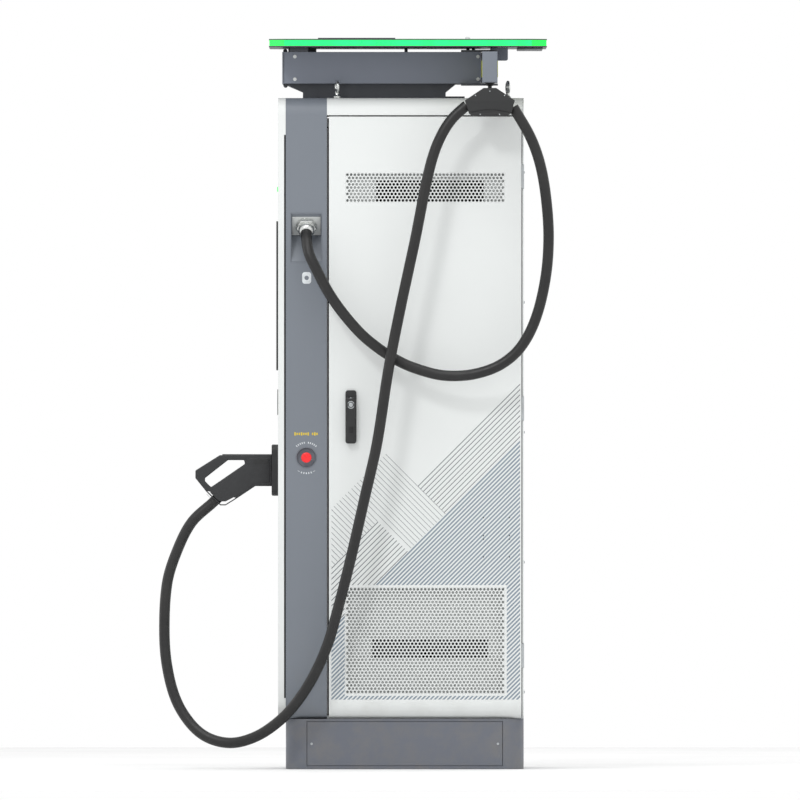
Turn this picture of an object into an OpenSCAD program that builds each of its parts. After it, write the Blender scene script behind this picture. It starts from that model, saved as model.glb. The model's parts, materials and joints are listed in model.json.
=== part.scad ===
// EV charging post: cabinet on a plinth, header with a swing arm, canopy and one charging cable.
// Frame: +Z up, origin on the floor at the centre of the anchor bolts.
// The side with the door faces -Y, the user's side with the connector holster faces -X.

/* [Plinth] */
// Length of the plinth along X
plinth_l = 714; // [600:1:900]
// Depth of the plinth along Y
plinth_d = 560; // [460:1:700]
// Height of the plinth
plinth_h = 150; // [120:1:250]
// Radius of the plinth's upright corners
plinth_r = 60; // [30:1:80]
// Sheet thickness of the plinth
plinth_t = 4; // [2:0.5:6]
// Width of the removable middle panel
plinth_panel_w = 585; // [480:1:600]
// Spacing of the anchor bolts along X
anchor_dx = 600; // [400:1:640]
// Spacing of the anchor bolts along Y
anchor_dy = 440; // [300:1:470]
// Diameter of an anchor bolt hole
anchor_hole_d = 18; // [12:0.5:22]

/* [Cabinet] */
// Depth of the cabinet along Y
cab_d = 600; // [480:1:760]
// Height of the cabinet above the plinth
cab_h = 1863; // [1750:1:2300]
// Radius of the cabinet's long edges
edge_r = 50; // [30:1:60]
// Sheet thickness of the covers
skin = 2.5; // [1.5:0.5:4]
// Thickness of the front cover that stands ahead of the plinth
front_t = 23; // [15:1:40]
// Width of the grey belt behind the front cover
belt_w = 123.5; // [110:0.5:150]
// Width of the open seam between the belt and the door
seam_w = 6; // [3:0.5:10]
// Thickness of the rear cover
rear_t = 4; // [3:0.5:8]
// Distance from the cabinet's top down to the top of the door
door_drop = 56; // [53:1:70]
// Gap round the door
door_gap = 3; // [2:0.5:4]
// Depth of the door's folded edges
door_fold = 30; // [20:1:34]
// Width of a frame post
post_w = 30; // [20:1:40]

/* [Vents] */
// Width of the perforated field
vent_w = 477; // [300:1:480]
// Height of the upper perforated field
vent_top_h = 87; // [60:1:120]
// Height of the lower perforated field
vent_low_h = 318; // [200:1:330]
// Height of the lower field's bottom edge above the floor
vent_low_z = 226; // [215:1:260]
// Distance from the top of the door down to the upper field's top edge
vent_top_drop = 169.5; // [120:0.5:260]
// Diameter of a perforation
vent_hole_d = 24; // [10:1:26]
// Spacing of the perforations
vent_pitch = 33; // [28:1:60]

/* [Outlet] */
// Width of the cable niche
niche_w = 94; // [80:1:100]
// Height of the cable niche
niche_h = 148; // [120:1:170]
// Depth of the cable niche
niche_depth = 50; // [40:1:60]
// Height of the niche's bottom edge above the floor
niche_z = 1520; // [1300:1:1600]
// Width across the flats of the cable gland
gland_af = 56; // [50:1:60]
// Diameter of the charging cable
cable_d = 32; // [26:1:36]

/* [Emergency stop] */
// Height of the emergency stop
stop_z = 934; // [800:1:1100]
// Diameter of the recessed dish
stop_dish_d = 64; // [50:1:80]
// Diameter of the mushroom head
stop_head_d = 31; // [24:1:38]
// Travel of the mushroom head
stop_travel = 4; // [3:0.5:6]

/* [Handle] */
// Length of the swing handle
handle_l = 160; // [140:1:200]
// Width of the swing handle
handle_w = 33; // [28:1:40]
// Height of the handle's bottom end
handle_z = 976; // [900:1:1100]
// Distance from the door's free edge to the middle of the handle
handle_in = 66; // [50:1:90]

/* [Header] */
// Length of the header beam
header_l = 597; // [500:1:640]
// Height of the header beam
header_h = 95; // [80:1:120]
// Depth of the header beam
header_d = 400; // [300:1:500]
// Height of the turret between the roof and the header
turret_h = 44; // [35:1:60]
// Width of the swing arm
arm_w = 46; // [40:1:60]
// Reach of the swing arm from its pivot
arm_reach = 260; // [240:1:300]

/* [Canopy] */
// Length of the canopy
canopy_l = 833; // [700:1:1000]
// Depth of the canopy
canopy_d = 740; // [600:1:900]
// Height of the canopy's lit edge
canopy_h = 24; // [20:1:35]
// Clear height between the header and the canopy
canopy_gap = 13.5; // [12:0.5:20]

/* [Holster] */
// Width of the holster plate
holster_w = 130; // [110:1:160]
// Height of the holster plate
holster_h = 154; // [130:1:180]
// Thickness of the holster plate
holster_t = 18; // [14:1:24]
// Height of the holster plate's bottom edge
holster_z = 819; // [750:1:900]
// Sideways place of the holster
holster_y = -150; // [-170:1:170]

/* [Hidden] */
$fn = 48;

// Clearances and small shared sizes
seat = 0.3;        // clearance of a piece that rests on its neighbour
run = 0.05;        // radial running clearance of a pin
cut = 1;           // how far a cutter passes the face that it cuts
over = 2;          // how far a head stands over the skin
cable_bore_d = cable_d + 2;
pocket_l = 80;     // a cable's pocket runs on out of the piece that holds the cable

// Colours
white = "#e3e6e5";
grey = "#7f8790";
dark_grey = "#4a4d53";
black = "#333436";
steel = "#b9bdbc";
zinc = "#9a9fa3";

// Places along X
rear_x = plinth_l/2;
front_x = -plinth_l/2 - front_t;
belt_x0 = -plinth_l/2;
belt_x1 = belt_x0 + belt_w;
door_x0 = belt_x1 + seam_w;
door_x1 = rear_x - rear_t - door_gap;
post_x1 = door_x1 + 0.5;
belt_mid = belt_x0 + belt_w/2;
door_mid = (door_x0 + door_x1)/2;
// Places along Y and Z
side_y = cab_d/2;
post_y = side_y - edge_r;
cab_z0 = plinth_h;
cab_z1 = plinth_h + cab_h;
tray_t = 10;
door_z1 = cab_z1 - door_drop;
roof_z0 = door_z1 + 4;
lip_angle = 70;
// Vents
vent_x0 = door_mid - vent_w/2;
vent_top_z = door_z1 - vent_top_drop - vent_top_h;
vent_frame = 12;
grille_t = 1.5;
pan_y = -side_y + 22;      // where the pan behind a grille has its back
pan_t = 1.5;
// Hinge of the door
hinge_x = door_x1 + 4;
hinge_y = -side_y + 2;
hinge_pin_d = 4;
hinge_tube_d = 8;
hinge_len = 24;
hinge_zs = [cab_z0 + 190, cab_z0 + cab_h/2, door_z1 - 180];
// Handle
handle_x = door_x0 + handle_in;
spindle_z = handle_z + handle_l - 28;
spindle_d = 12;
spindle_hole_d = 18;
cam_r = 14;
// Header
header_z0 = cab_z1 + turret_h;
header_z1 = header_z0 + header_h;
header_x1 = 229;
header_x0 = header_x1 - header_l;
arm_x = header_x1 + 3 + arm_w/2;
arm_y = -180;
arm_pin_d = 20;
arm_hub_d = arm_w;
arm_tip_y = arm_y - arm_reach;
clamp_y = arm_tip_y + 30;
canopy_z0 = header_z1 + canopy_gap;
canopy_z1 = canopy_z0 + canopy_h;
canopy_mid_x = 9.5;
// Niche, with its upper plate sloping down into the cabinet
niche_top = niche_z + niche_h;
niche_rise = 66;
niche_slope = atan2(niche_rise, niche_depth);
gland_z = niche_top - niche_rise*0.58;
gland_y = -side_y + niche_depth*0.58;
gland_tilt = 90 - niche_slope;

// ---- Shared shapes ----

// A rectangle with rounded corners, centred
module rrect(w, h, r) {
    square([w - 2*r, h], center = true);
    square([w, h - 2*r], center = true);
    for (x = [-1, 1], y = [-1, 1]) translate([x*(w/2 - r), y*(h/2 - r)]) circle(r);
}

// The cabinet's cross-section from x0 to x1, drawn in by an inset
module slab(x0, x1, inset = 0) {
    translate([x0, 0, (cab_z0 + cab_z1)/2]) rotate([90, 0, 90])
        linear_extrude(x1 - x0)
            rrect(cab_d - 2*inset, cab_h - 2*inset, edge_r - inset);
}

// A sheet-metal ring of the cabinet's cross-section
module ring(x0, x1) {
    difference() {
        slab(x0, x1);
        slab(x0 - cut, x1 + cut, skin);
    }
}

// A block between two corners
module block(a, b) {
    translate(a) cube([b[0] - a[0], b[1] - a[1], b[2] - a[2]]);
}

// A cylinder along +Y from the given point
module rod_y(p, d, l) {
    translate(p) rotate([-90, 0, 0]) cylinder(d = d, h = l);
}

// A cylinder along +X from the given point
module rod_x(p, d, l) {
    translate(p) rotate([0, 90, 0]) cylinder(d = d, h = l);
}

// A tube with its foot at the given point, along +Z
module tube_z(p, d, bore, l) {
    translate(p) difference() {
        cylinder(d = d, h = l);
        translate([0, 0, -cut]) cylinder(d = bore, h = l + 2*cut);
    }
}

// A screw with a domed head on a face towards -Y
module screw_y(p, d, l) {
    rod_y([p[0], p[1] - over, p[2]], d*1.8, over);
    rod_y(p, d, l);
}

// Children and their mirror image on the far side
module both_sides() {
    children();
    mirror([0, 1, 0]) children();
}

// ---- Plinth ----

module plinth_plan(inset) {
    rrect(plinth_l - 2*inset, plinth_d - 2*inset, plinth_r - inset);
}

anchor_plate = [120, 130, 8];
panel_gap = 2;
panel_z0 = anchor_plate[2] + panel_gap;
panel_h = plinth_h - panel_z0 - 9;
panel_lip = 12;
panel_screw_d = 4;
panel_screw_x = plinth_panel_w/2 - 13;
window_edge = 20;  // height left of the backing strip above and below its window

module plinth_frame() {
    height = plinth_h - seat;
    window_w = plinth_panel_w - 2*panel_lip;
    color(grey) {
        difference() {
            linear_extrude(height) difference() {
                plinth_plan(0);
                plinth_plan(plinth_t);
            }
            both_sides()
                block([-plinth_panel_w/2 - panel_gap, -plinth_d/2 - cut, panel_z0 - panel_gap],
                      [plinth_panel_w/2 + panel_gap, -plinth_d/2 + plinth_t + cut,
                       panel_z0 + panel_h + panel_gap]);
        }
        both_sides() difference() {
            block([-plinth_panel_w/2 - 8, -plinth_d/2 + plinth_t, 0],
                  [plinth_panel_w/2 + 8, -plinth_d/2 + 2*plinth_t, height]);
            block([-window_w/2, -plinth_d/2, window_edge],
                  [window_w/2, -plinth_d/2 + 3*plinth_t, height - window_edge]);
            for (x = [-1, 1])
                rod_y([x*panel_screw_x, -plinth_d/2, plinth_h/2], panel_screw_d + 0.2,
                      4*plinth_t);
        }
        for (x = [-1, 1], y = [-1, 1]) difference() {
            intersection() {
                translate([x*anchor_dx/2, y*anchor_dy/2, anchor_plate[2]/2])
                    cube(anchor_plate, center = true);
                linear_extrude(anchor_plate[2]) plinth_plan(plinth_t/2);
            }
            translate([x*anchor_dx/2, y*anchor_dy/2, -cut])
                cylinder(d = anchor_hole_d, h = anchor_plate[2] + 2*cut);
        }
    }
}

module plinth_panels() {
    color(grey) both_sides() difference() {
        block([-plinth_panel_w/2, -plinth_d/2, panel_z0],
              [plinth_panel_w/2, -plinth_d/2 + plinth_t, panel_z0 + panel_h]);
        for (x = [-1, 1])
            rod_y([x*panel_screw_x, -plinth_d/2 - cut, plinth_h/2], panel_screw_d + 0.6,
                  3*plinth_t);
    }
}

module plinth_screws() {
    color(zinc) both_sides() for (x = [-1, 1])
        screw_y([x*panel_screw_x, -plinth_d/2, plinth_h/2], panel_screw_d, 3*plinth_t);
}

// ---- Cabinet frame ----

entry_l = 240;
entry_w = 160;

module base_tray() {
    edge_y = post_y - seat;
    color(zinc) difference() {
        union() {
            block([belt_x0 + seat, -edge_y, cab_z0],
                  [rear_x - rear_t - seat, edge_y, cab_z0 + tray_t]);
            // The keeper that the lower latch rod drops into
            block([handle_x - 16, rod_y0 - 8, cab_z0 + tray_t],
                  [handle_x + 16, -edge_y + 12, cab_z0 + tray_t + 6]);
        }
        block([-entry_l/2, -entry_w/2, cab_z0 - cut], [entry_l/2, entry_w/2, cab_z0 + tray_t + cut]);
        translate([handle_x, rod_y0, cab_z0]) cylinder(d = keeper_hole_d, h = 3*tray_t);
    }
}

module frame_posts() {
    post_z1 = cab_z1 - skin - seat;
    color(zinc) both_sides() for (x = [door_x0 + 2, post_x1 - post_w])
        block([x, -post_y, cab_z0 + tray_t], [x + post_w, -post_y + post_w, post_z1]);
}

module top_tray() {
    edge_y = post_y - post_w - seat;
    z = door_z1 - 30;
    color(zinc) block([belt_x0 + seat, -edge_y, z], [rear_x - rear_t - seat, edge_y, z + tray_t]);
}

// ---- Covers ----

// One side of the belt, with its long edges
module belt_side() {
    intersection() {
        ring(belt_x0, belt_x1);
        block([belt_x0 - cut, -side_y - cut, cab_z0 - cut], [belt_x1 + cut, -post_y, cab_z1 + cut]);
    }
    // Folds that stiffen the front and rear edges
    for (x = [belt_x0, belt_x1 - skin])
        block([x, -side_y + skin/2, cab_z0 + edge_r], [x + skin, -side_y + 22, cab_z1 - edge_r]);
}

module belt_b() {
    color(grey) difference() {
        belt_side();
        block([belt_mid - niche_w/2, -side_y - cut, niche_z],
              [belt_mid + niche_w/2, -side_y + skin + cut, niche_top]);
        rod_y([belt_mid, -side_y - cut, stop_z], stop_dish_d, skin + 2*cut);
    }
}

module belt_a() {
    color(grey) mirror([0, 1, 0]) belt_side();
}

module belt_top() {
    color(grey) block([belt_x0, -post_y + seat, cab_z1 - skin], [belt_x1, post_y - seat, cab_z1]);
}

module roof_shell() {
    color(white) difference() {
        intersection() {
            slab(belt_x1, rear_x - rear_t - seat);
            block([belt_x1, -side_y, roof_z0], [rear_x, side_y, cab_z1]);
        }
        intersection() {
            slab(belt_x1 + skin, rear_x - rear_t - seat - 1.5, skin);
            block([belt_x1, -side_y, roof_z0 + skin], [rear_x, side_y, cab_z1]);
        }
        // The lower edge keeps a folded lip on each side, which the upper latch rod stands behind
        block([belt_x1 + skin, rod_y0 - latch_rod_d/2 - 0.5, roof_z0 - cut],
              [rear_x - rear_t - seat - 1.5, -rod_y0, roof_z0 + 2*skin]);
    }
}

// The outline of a perforated field, at a height
module field(z, h, inset, y0, y1) {
    block([vent_x0 + inset, y0, z + inset], [vent_x0 + vent_w - inset, y1, z + h - inset]);
}

lip_back = edge_r*cos(lip_angle);

// The shell that closes one side from x0 to x1, with its two vent windows
module side_shell(x0, x1) {
    difference() {
        intersection() {
            union() {
                intersection() {
                    ring(x0, x1);
                    block([x0, -side_y, cab_z0], [x1, -post_y - lip_back, door_z1]);
                }
                // The upper fold, and the two upright folds
                block([x0, -side_y, door_z1 - skin], [x1, -side_y + door_fold, door_z1]);
                for (x = [x0, x1 - skin])
                    block([x, -side_y, cab_z0 + edge_r], [x + skin, -side_y + door_fold, door_z1]);
            }
            slab(x0, x1);
        }
        for (f = [[vent_top_z, vent_top_h], [vent_low_z, vent_low_h]])
            field(f[0], f[1], 0, -side_y - cut, -side_y + skin + cut);
    }
}
module side_panel_a() {
    color(white) mirror([0, 1, 0]) side_shell(belt_x1 + seat, rear_x - rear_t - seat);
}

module rear_cover() {
    color(white) {
        difference() {
            slab(rear_x - rear_t, rear_x);
            for (z = hinge_zs)
                translate([hinge_x, hinge_y, z]) cube([30, 12, 3*hinge_len + 4], center = true);
        }
    }
}

// The shadow gap between the front cover and the belt
shadow_w = 5;
shadow_z = [cab_z0 + 62, cab_z1 - 111];

module front_cover() {
    color(white) difference() {
        slab(front_x, belt_x0 - seat);
        slab(front_x + skin + 1, belt_x0, skin + 9);
        both_sides()
            block([belt_x0 - shadow_w, -side_y - cut, shadow_z[0]],
                  [belt_x0, -side_y + 7, shadow_z[1]]);
        rod_x([front_x - cut, 0, glass_z], 20, 3*front_t);
        for (p = holster_holes) rod_x([front_x - cut, p[0], p[1]], 6.2, 3*front_t);
        rod_x([front_x - cut, 0, status_z], 10, 3*front_t);
        rod_x([front_x - cut, 0, rfid_z], 10, 3*front_t);
    }
}

module front_gasket() {
    color(black) both_sides()
        block([belt_x0 - shadow_w + seat, -side_y + 4, shadow_z[0] + 1],
              [belt_x0 - seat, -side_y + 7 - seat, shadow_z[1] - 1]);
}

// ---- Front of the cabinet ----

glass_w = 260;
glass_h = 420;
glass_z = 1420;
bezel = 14;
bezel_t = 6;
status_z = glass_z + glass_h/2 + 110;
rfid_z = glass_z - glass_h/2 - 110;
rfid_w = 110;
holster_mid_z = holster_z + holster_h/2;
holster_holes = [for (y = [-1, 1], z = [-1, 1])
    [holster_y + y*(holster_w/2 - 14), holster_mid_z + z*(holster_h/2 - 14)]];

// A plate with rounded corners on the front face, from depth x0 to x1 ahead of it
module front_plate(y, z, w, h, r, x0, x1) {
    translate([front_x - x1, y, z]) rotate([90, 0, 90]) linear_extrude(x1 - x0) rrect(w, h, r);
}

module display_bezel() {
    color(black) difference() {
        front_plate(0, glass_z, glass_w + 2*bezel, glass_h + 2*bezel, 16, 0, bezel_t);
        front_plate(0, glass_z, glass_w, glass_h, 6, 2, bezel_t + cut);
        rod_x([front_x - bezel_t - cut, 0, glass_z], 12, 3*bezel_t);
    }
}

module display_glass() {
    color("#1d2226") front_plate(0, glass_z, glass_w - 2*seat, glass_h - 2*seat, 6 - seat,
                                 2, bezel_t - 1);
}

module rfid_window() {
    color(black) front_plate(0, rfid_z, rfid_w, rfid_w*0.7, 10, 0, 3);
}

module status_led() {
    color("#33ff8c") front_plate(0, status_z, 300, 14, 6, 0, 3);
}

// The socket in the holster takes the connector's nose
nose_d = 62;
socket_clear = 1.5;

module holster() {
    depth = holster_t;
    color(black) difference() {
        front_plate(holster_y, holster_mid_z, holster_w, holster_h, 20, 0, depth);
        rod_x([front_x - depth - cut, gun_y, gun_axis_z], nose_d + 2*socket_clear, depth + 1 - 4);
        for (p = holster_holes) {
            rod_x([front_x - depth - cut, p[0], p[1]], 5.4, depth + 2*cut);
            rod_x([front_x - depth - cut, p[0], p[1]], 11, 5);
        }
    }
}

module holster_screws() {
    color(zinc) for (p = holster_holes) {
        rod_x([front_x - holster_t + 0.5, p[0], p[1]], 9, 3.5);
        rod_x([front_x - holster_t + 2, p[0], p[1]], 5, holster_t + 4);
    }
}

// ---- Outlet ----

// The housing is a wedge-shaped pocket behind the belt's window
module niche_housing() {
    wall = 2;
    translate([belt_mid - niche_w/2, 0, 0]) color(grey) difference() {
        translate([seat, -side_y + 0.5, niche_z]) rotate([90, 0, 90])
            linear_extrude(niche_w - 2*seat) polygon([
                [0, seat], [0, niche_h - seat], [niche_depth + wall + 12, niche_h - seat],
                [niche_depth + wall + 12, seat]]);
        // The open wedge, whose upper face carries the gland plate
        translate([wall, -side_y, niche_z]) rotate([90, 0, 90])
            linear_extrude(niche_w - 2*wall) polygon([
                [-cut, 3], [0, 3], [niche_depth, niche_h - niche_rise],
                [3, niche_h - 3], [-cut, niche_h - 3]]);
        // Clearance for the gland's thread
        translate([niche_w/2, gland_y, gland_z]) rotate([gland_tilt, 0, 0])
            rod_y([0, -cut, 0], gland_thread_d + 1, 90);
    }
}

gland_thread_d = 42;
gland_thread_l = 16;
plate_t = 2;
gland_hex_t = 14;
gland_dome_d = 48;
gland_dome_l = 22;

// Puts children on the niche's sloping upper face, with -Y as its outward normal
module on_niche() {
    translate([belt_mid, gland_y, gland_z]) rotate([gland_tilt, 0, 0]) children();
}

module gland_plate() {
    color(steel) on_niche() difference() {
        translate([-niche_w/2 + 4, -plate_t - 0.2, -34]) cube([niche_w - 8, plate_t, 68]);
        rod_y([0, -plate_t - cut, 0], gland_thread_d + 0.6, plate_t + 2*cut);
    }
}

module cable_gland() {
    face = -plate_t - 0.2;
    color(steel) on_niche() difference() {
        union() {
            translate([0, face, 0]) rotate([90, 30, 0])
                cylinder(d = gland_af/cos(30), h = gland_hex_t, $fn = 6);
            translate([0, face - gland_hex_t, 0]) rotate([90, 0, 0])
                rotate_extrude() polygon([
                    [0, -cut], [gland_dome_d/2, -cut], [gland_dome_d/2, gland_dome_l*0.6],
                    [gland_dome_d/2 - 5, gland_dome_l], [0, gland_dome_l]]);
            rod_y([0, face - cut, 0], gland_thread_d, gland_thread_l + cut);
        }
        rod_y([0, face - gland_hex_t - gland_dome_l - cut, 0], cable_bore_d, 90);
    }
}

// ---- Emergency stop ----

dish_depth = 12;
stop_stem_d = 14;
stem_in = 18;      // how far the stem reaches into the switch body

module estop_dish() {
    color(dark_grey) translate([belt_mid, -side_y, stop_z]) rotate([-90, 0, 0]) difference() {
        union() {
            cylinder(d = stop_dish_d - 2*seat, h = dish_depth + 3);
            translate([0, 0, skin]) cylinder(d = stop_dish_d + 12, h = dish_depth + 3 - skin);
        }
        translate([0, 0, -cut]) cylinder(d = stop_dish_d - 6, h = dish_depth + cut);
        cylinder(d = stop_stem_d + 4, h = 4*dish_depth);
    }
}

module estop_body() {
    y0 = -side_y + dish_depth + 3;
    color(black) translate([belt_mid, y0, stop_z]) difference() {
        translate([-16, 0, -22]) cube([32, 42, 44]);
        rod_y([0, -cut, 0], stop_stem_d + 2*run, stem_in + stop_travel + 2 + cut);
    }
}

module estop_stem() {
    color(steel) rod_y([belt_mid, -side_y - 4, stop_z], stop_stem_d,
                       4 + dish_depth + 3 + stem_in);
}

module estop_head() {
    color("#d8262b") translate([belt_mid, -side_y - 15, stop_z]) rotate([-90, 0, 0])
        rotate_extrude() polygon([
            [0, 0], [stop_head_d/2 - 3, 0], [stop_head_d/2, 2.5], [stop_head_d/2, 9],
            [stop_head_d/2 - 5, 11], [0, 11]]);
}

// ---- Door ----

rod_y0 = -side_y + door_fold + 4;    // the latch rods run just behind the folded edges
latch_rod_d = 8;
keeper_hole_d = latch_rod_d + 1;

module door_b() {
    color(white) difference() {
        side_shell(door_x0, door_x1);
        rod_y([handle_x, -side_y - cut, spindle_z], spindle_hole_d, skin + 2*cut);
    }
}

// A perforated sheet behind a window, with whole holes only
module grille(z, h) {
    y0 = -side_y + skin + seat;
    row_step = vent_pitch*0.87;
    rows = floor((h - vent_hole_d)/row_step) + 1;
    columns = floor((vent_w - vent_hole_d)/vent_pitch);
    mid_x = vent_x0 + vent_w/2;
    difference() {
        translate([mid_x, y0, z + h/2]) rotate([-90, 0, 0]) linear_extrude(grille_t)
            square([vent_w + 2*vent_frame, h + 2*vent_frame - 4], center = true);
        for (r = [0 : rows - 1], c = [0 : columns - 1])
            rod_y([mid_x + (c - (columns - 1)/2 + (r % 2)/2 - 0.25)*vent_pitch, y0 - cut,
                   z + h/2 + (r - (rows - 1)/2)*row_step], vent_hole_d, grille_t + 2*cut,
                  $fn = 16);
    }
}

module grille_upper_b() { color(white) grille(vent_top_z, vent_top_h); }
module grille_lower_b() { color(white) grille(vent_low_z, vent_low_h); }

slot_low = [348, 58];      // width and height of the air opening in the pan's back
slot_top = [324, 64.5];
slot_low_rise = 105;       // height of the lower opening above the field's bottom edge
slot_shift = 14;           // both openings sit this far towards the hinges

// A shallow pan behind a grille, whose back has one wide air opening
module vent_pan(z, h, slot, slot_z) {
    y0 = -side_y + skin + grille_t + 2*seat;
    mid_x = vent_x0 + vent_w/2;
    difference() {
        block([vent_x0 - 8, y0, z - 8], [vent_x0 + vent_w + 8, pan_y + pan_t, z + h + 8]);
        block([vent_x0 - 6, y0 - cut, z - 6], [vent_x0 + vent_w + 6, pan_y, z + h + 6]);
        block([mid_x + slot_shift - slot[0]/2, pan_y - cut, slot_z],
              [mid_x + slot_shift + slot[0]/2, pan_y + pan_t + cut, slot_z + slot[1]]);
    }
}

module vent_pans() {
    vent_pan(vent_top_z, vent_top_h, slot_top, vent_top_z);
    vent_pan(vent_low_z, vent_low_h, slot_low, vent_low_z + slot_low_rise);
}

module vent_plates_b() { color("#c9cccb") vent_pans(); }

module grilles_a() {
    color(white) mirror([0, 1, 0]) {
        grille(vent_top_z, vent_top_h);
        grille(vent_low_z, vent_low_h);
    }
}

module hinge_fixed() {
    color(zinc) for (z = hinge_zs) {
        translate([hinge_x, hinge_y, z - 1.5*hinge_len]) cylinder(d = hinge_pin_d, h = 3*hinge_len);
        translate([hinge_x, hinge_y, z - hinge_len/2]) cylinder(d = hinge_tube_d, h = hinge_len);
        block([post_x1, hinge_y, z - hinge_len/2], [post_x1 + 2, -post_y + post_w - 4,
              z + hinge_len/2]);
    }
}

module hinge_door() {
    color(zinc) for (z = hinge_zs, s = [-1, 1])
        translate([0, 0, z + s*(hinge_len + seat)]) difference() {
            union() {
                translate([hinge_x, hinge_y, -hinge_len/2])
                    cylinder(d = hinge_tube_d, h = hinge_len);
                block([door_x1, hinge_y, -hinge_len/2], [door_x1 + 1.7, hinge_y + 16, hinge_len/2]);
            }
            translate([hinge_x, hinge_y, -hinge_len]) cylinder(d = hinge_pin_d + 2*run,
                                                               h = 2*hinge_len);
        }
}

// ---- Swing handle and its latch ----

base_t = 8;
lever_t = 16;
lever_gap = 0.8;
lever_y1 = -side_y - base_t - lever_gap;
lever_w = handle_w - 6;
spindle_y0 = lever_y1 + 0.3;
cam_t = 6.7;
cam_pin_d = 6;
cam_y0 = rod_y0 - latch_rod_d/2 - seat - cam_t;
slot_h = 13;       // height of the slot that a cam pin runs in
slot_rail = 4;
lift_y = lever_y1 - 8;
lift_pin_d = 6;

module handle_base() {
    color(black) difference() {
        union() {
            translate([handle_x, -side_y, handle_z + handle_l/2]) rotate([90, 0, 0])
                linear_extrude(base_t) rrect(handle_w, handle_l, 7);
            rod_y([handle_x, -side_y - cut, spindle_z], spindle_hole_d - 2*seat, 14);
        }
        rod_y([handle_x, -side_y - base_t - cut, spindle_z], spindle_d + 2*run, 40);
    }
}

module handle_lever() {
    low = handle_z + 3;
    color(black) difference() {
        intersection() {
            translate([handle_x, lever_y1, (low + spindle_z + lever_w/2)/2]) rotate([90, 0, 0])
                linear_extrude(lever_t) rrect(lever_w, spindle_z + lever_w/2 - low, 5);
            union() {
                block([handle_x - lever_w, lever_y1 - lever_t, low], [handle_x + lever_w, lever_y1,
                      spindle_z]);
                rod_x([handle_x - lever_w, lift_y, spindle_z], lever_t, 2*lever_w);
            }
        }
        // The slot for the spindle's fork
        block([handle_x - 6.5, lever_y1 - lever_t + 1.5, spindle_z - 12],
              [handle_x + 6.5, lever_y1 + cut, spindle_z + 12]);
        rod_x([handle_x - lever_w, lift_y, spindle_z], lift_pin_d, 2*lever_w);
    }
}

module handle_spindle() {
    color(zinc) {
        // The eye and the pin that the lever lifts on
        block([handle_x - 5.5, lift_y - 3.5, spindle_z - 5],
              [handle_x + 5.5, spindle_y0 + 0.2, spindle_z + 5]);
        rod_x([handle_x - lever_w/2 + 1, lift_y, spindle_z], lift_pin_d - 2*run, lever_w - 2);
        rod_y([handle_x, spindle_y0, spindle_z], spindle_d, cam_y0 + 3 - spindle_y0);
        rod_y([handle_x, cam_y0, spindle_z], 2*(cam_r + 8), cam_t);
        for (s = [-1, 1])
            rod_y([handle_x, cam_y0 + cam_t - cut, spindle_z + s*cam_r], cam_pin_d, 15);
    }
}

// A latch rod: s is 1 for the upper rod and -1 for the lower one. A foot reaches only to the
// side that its own cam pin swings to, so that the other pin passes it
module latch_rod(s, z_end) {
    foot_y = s > 0 ? rod_y0 - latch_rod_d/2 : rod_y0 + seat;
    foot_y1 = foot_y + latch_rod_d/2 - seat;
    slot_x = [-cam_pin_d/2 - 1, cam_r + cam_pin_d/2 + 2];
    slot_z = [cam_r - slot_h/2, cam_r + slot_h/2];
    rod_z = slot_z[1] + 10;
    rod_l = abs(z_end - spindle_z) - rod_z;
    translate([handle_x, 0, spindle_z]) rotate([0, s > 0 ? 0 : 180, 0]) difference() {
        union() {
            block([slot_x[0] - 3, foot_y, slot_z[0] - slot_rail],
                  [slot_x[1] + 5, foot_y1, rod_z + 4]);
            translate([0, rod_y0, rod_z]) cylinder(d = latch_rod_d, h = rod_l);
        }
        block([slot_x[0], foot_y - cut, slot_z[0]], [slot_x[1], foot_y1 + cut, slot_z[1]]);
    }
}

module latch_rod_upper() { color(zinc) latch_rod(1, roof_z0 + 8); }
module latch_rod_lower() { color(zinc) latch_rod(-1, cab_z0 + tray_t - 2); }

// ---- Roof and header ----

// The front pair stands beside the turret, the rear pair clear of the arm's sweep
eye_places = [[-203, 235], [310, 110]];

module lifting_eyes() {
    ring_d = 30;
    wire = 8;
    color(steel) both_sides() for (p = eye_places) translate([p[0], p[1], cab_z1]) {
        cylinder(d = 20, h = 8);
        cylinder(d = 12, h = 18);
        translate([0, 0, 53 - ring_d/2 - wire/2]) rotate([0, 90, 0]) rotate_extrude()
            translate([ring_d/2, 0]) circle(d = wire);
    }
}

turret_x0 = -306;
turret_x1 = 123;
turret_flare = 30;

module turret_base() {
    slope_z = turret_h*0.45;
    color(dark_grey) {
        translate([0, header_d/2 - 30, cab_z1]) rotate([90, 0, 0]) linear_extrude(header_d - 60)
            polygon([
                [turret_x0, 0], [turret_x1, 0], [turret_x1, slope_z],
                [turret_x1 + turret_flare, turret_h], [turret_x0 - 1.9*turret_flare, turret_h],
                [turret_x0, slope_z]]);
        block([turret_x1 - 10, -header_d/2 + 60, cab_z1], [turret_x1 + 57, header_d/2 - 60,
              cab_z1 + 6]);
    }
}

header_bolt_d = 6;
header_bolt_xs = [header_x0 + 38, header_x1 - 9];
header_bolt_zs = [header_z0 + 13, header_z1 - 14];

module header_box() {
    wall = 3;
    color("#6b717c") difference() {
        block([header_x0, -header_d/2, header_z0], [header_x1, header_d/2, header_z1]);
        block([header_x0 + wall, -header_d/2 + wall, header_z0 + wall],
              [header_x1 - wall, header_d/2 - wall, header_z1 - wall]);
        for (x = header_bolt_xs, z = header_bolt_zs, y = [-1, 1])
            rod_y([x, y*header_d/2 - 2*wall, z], header_bolt_d + 0.4, 4*wall);
    }
}
module header_bolts() {
    color(zinc) both_sides() for (x = header_bolt_xs, z = header_bolt_zs)
        screw_y([x, -header_d/2, z], header_bolt_d, 10);
}

lug_t = 6;

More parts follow.
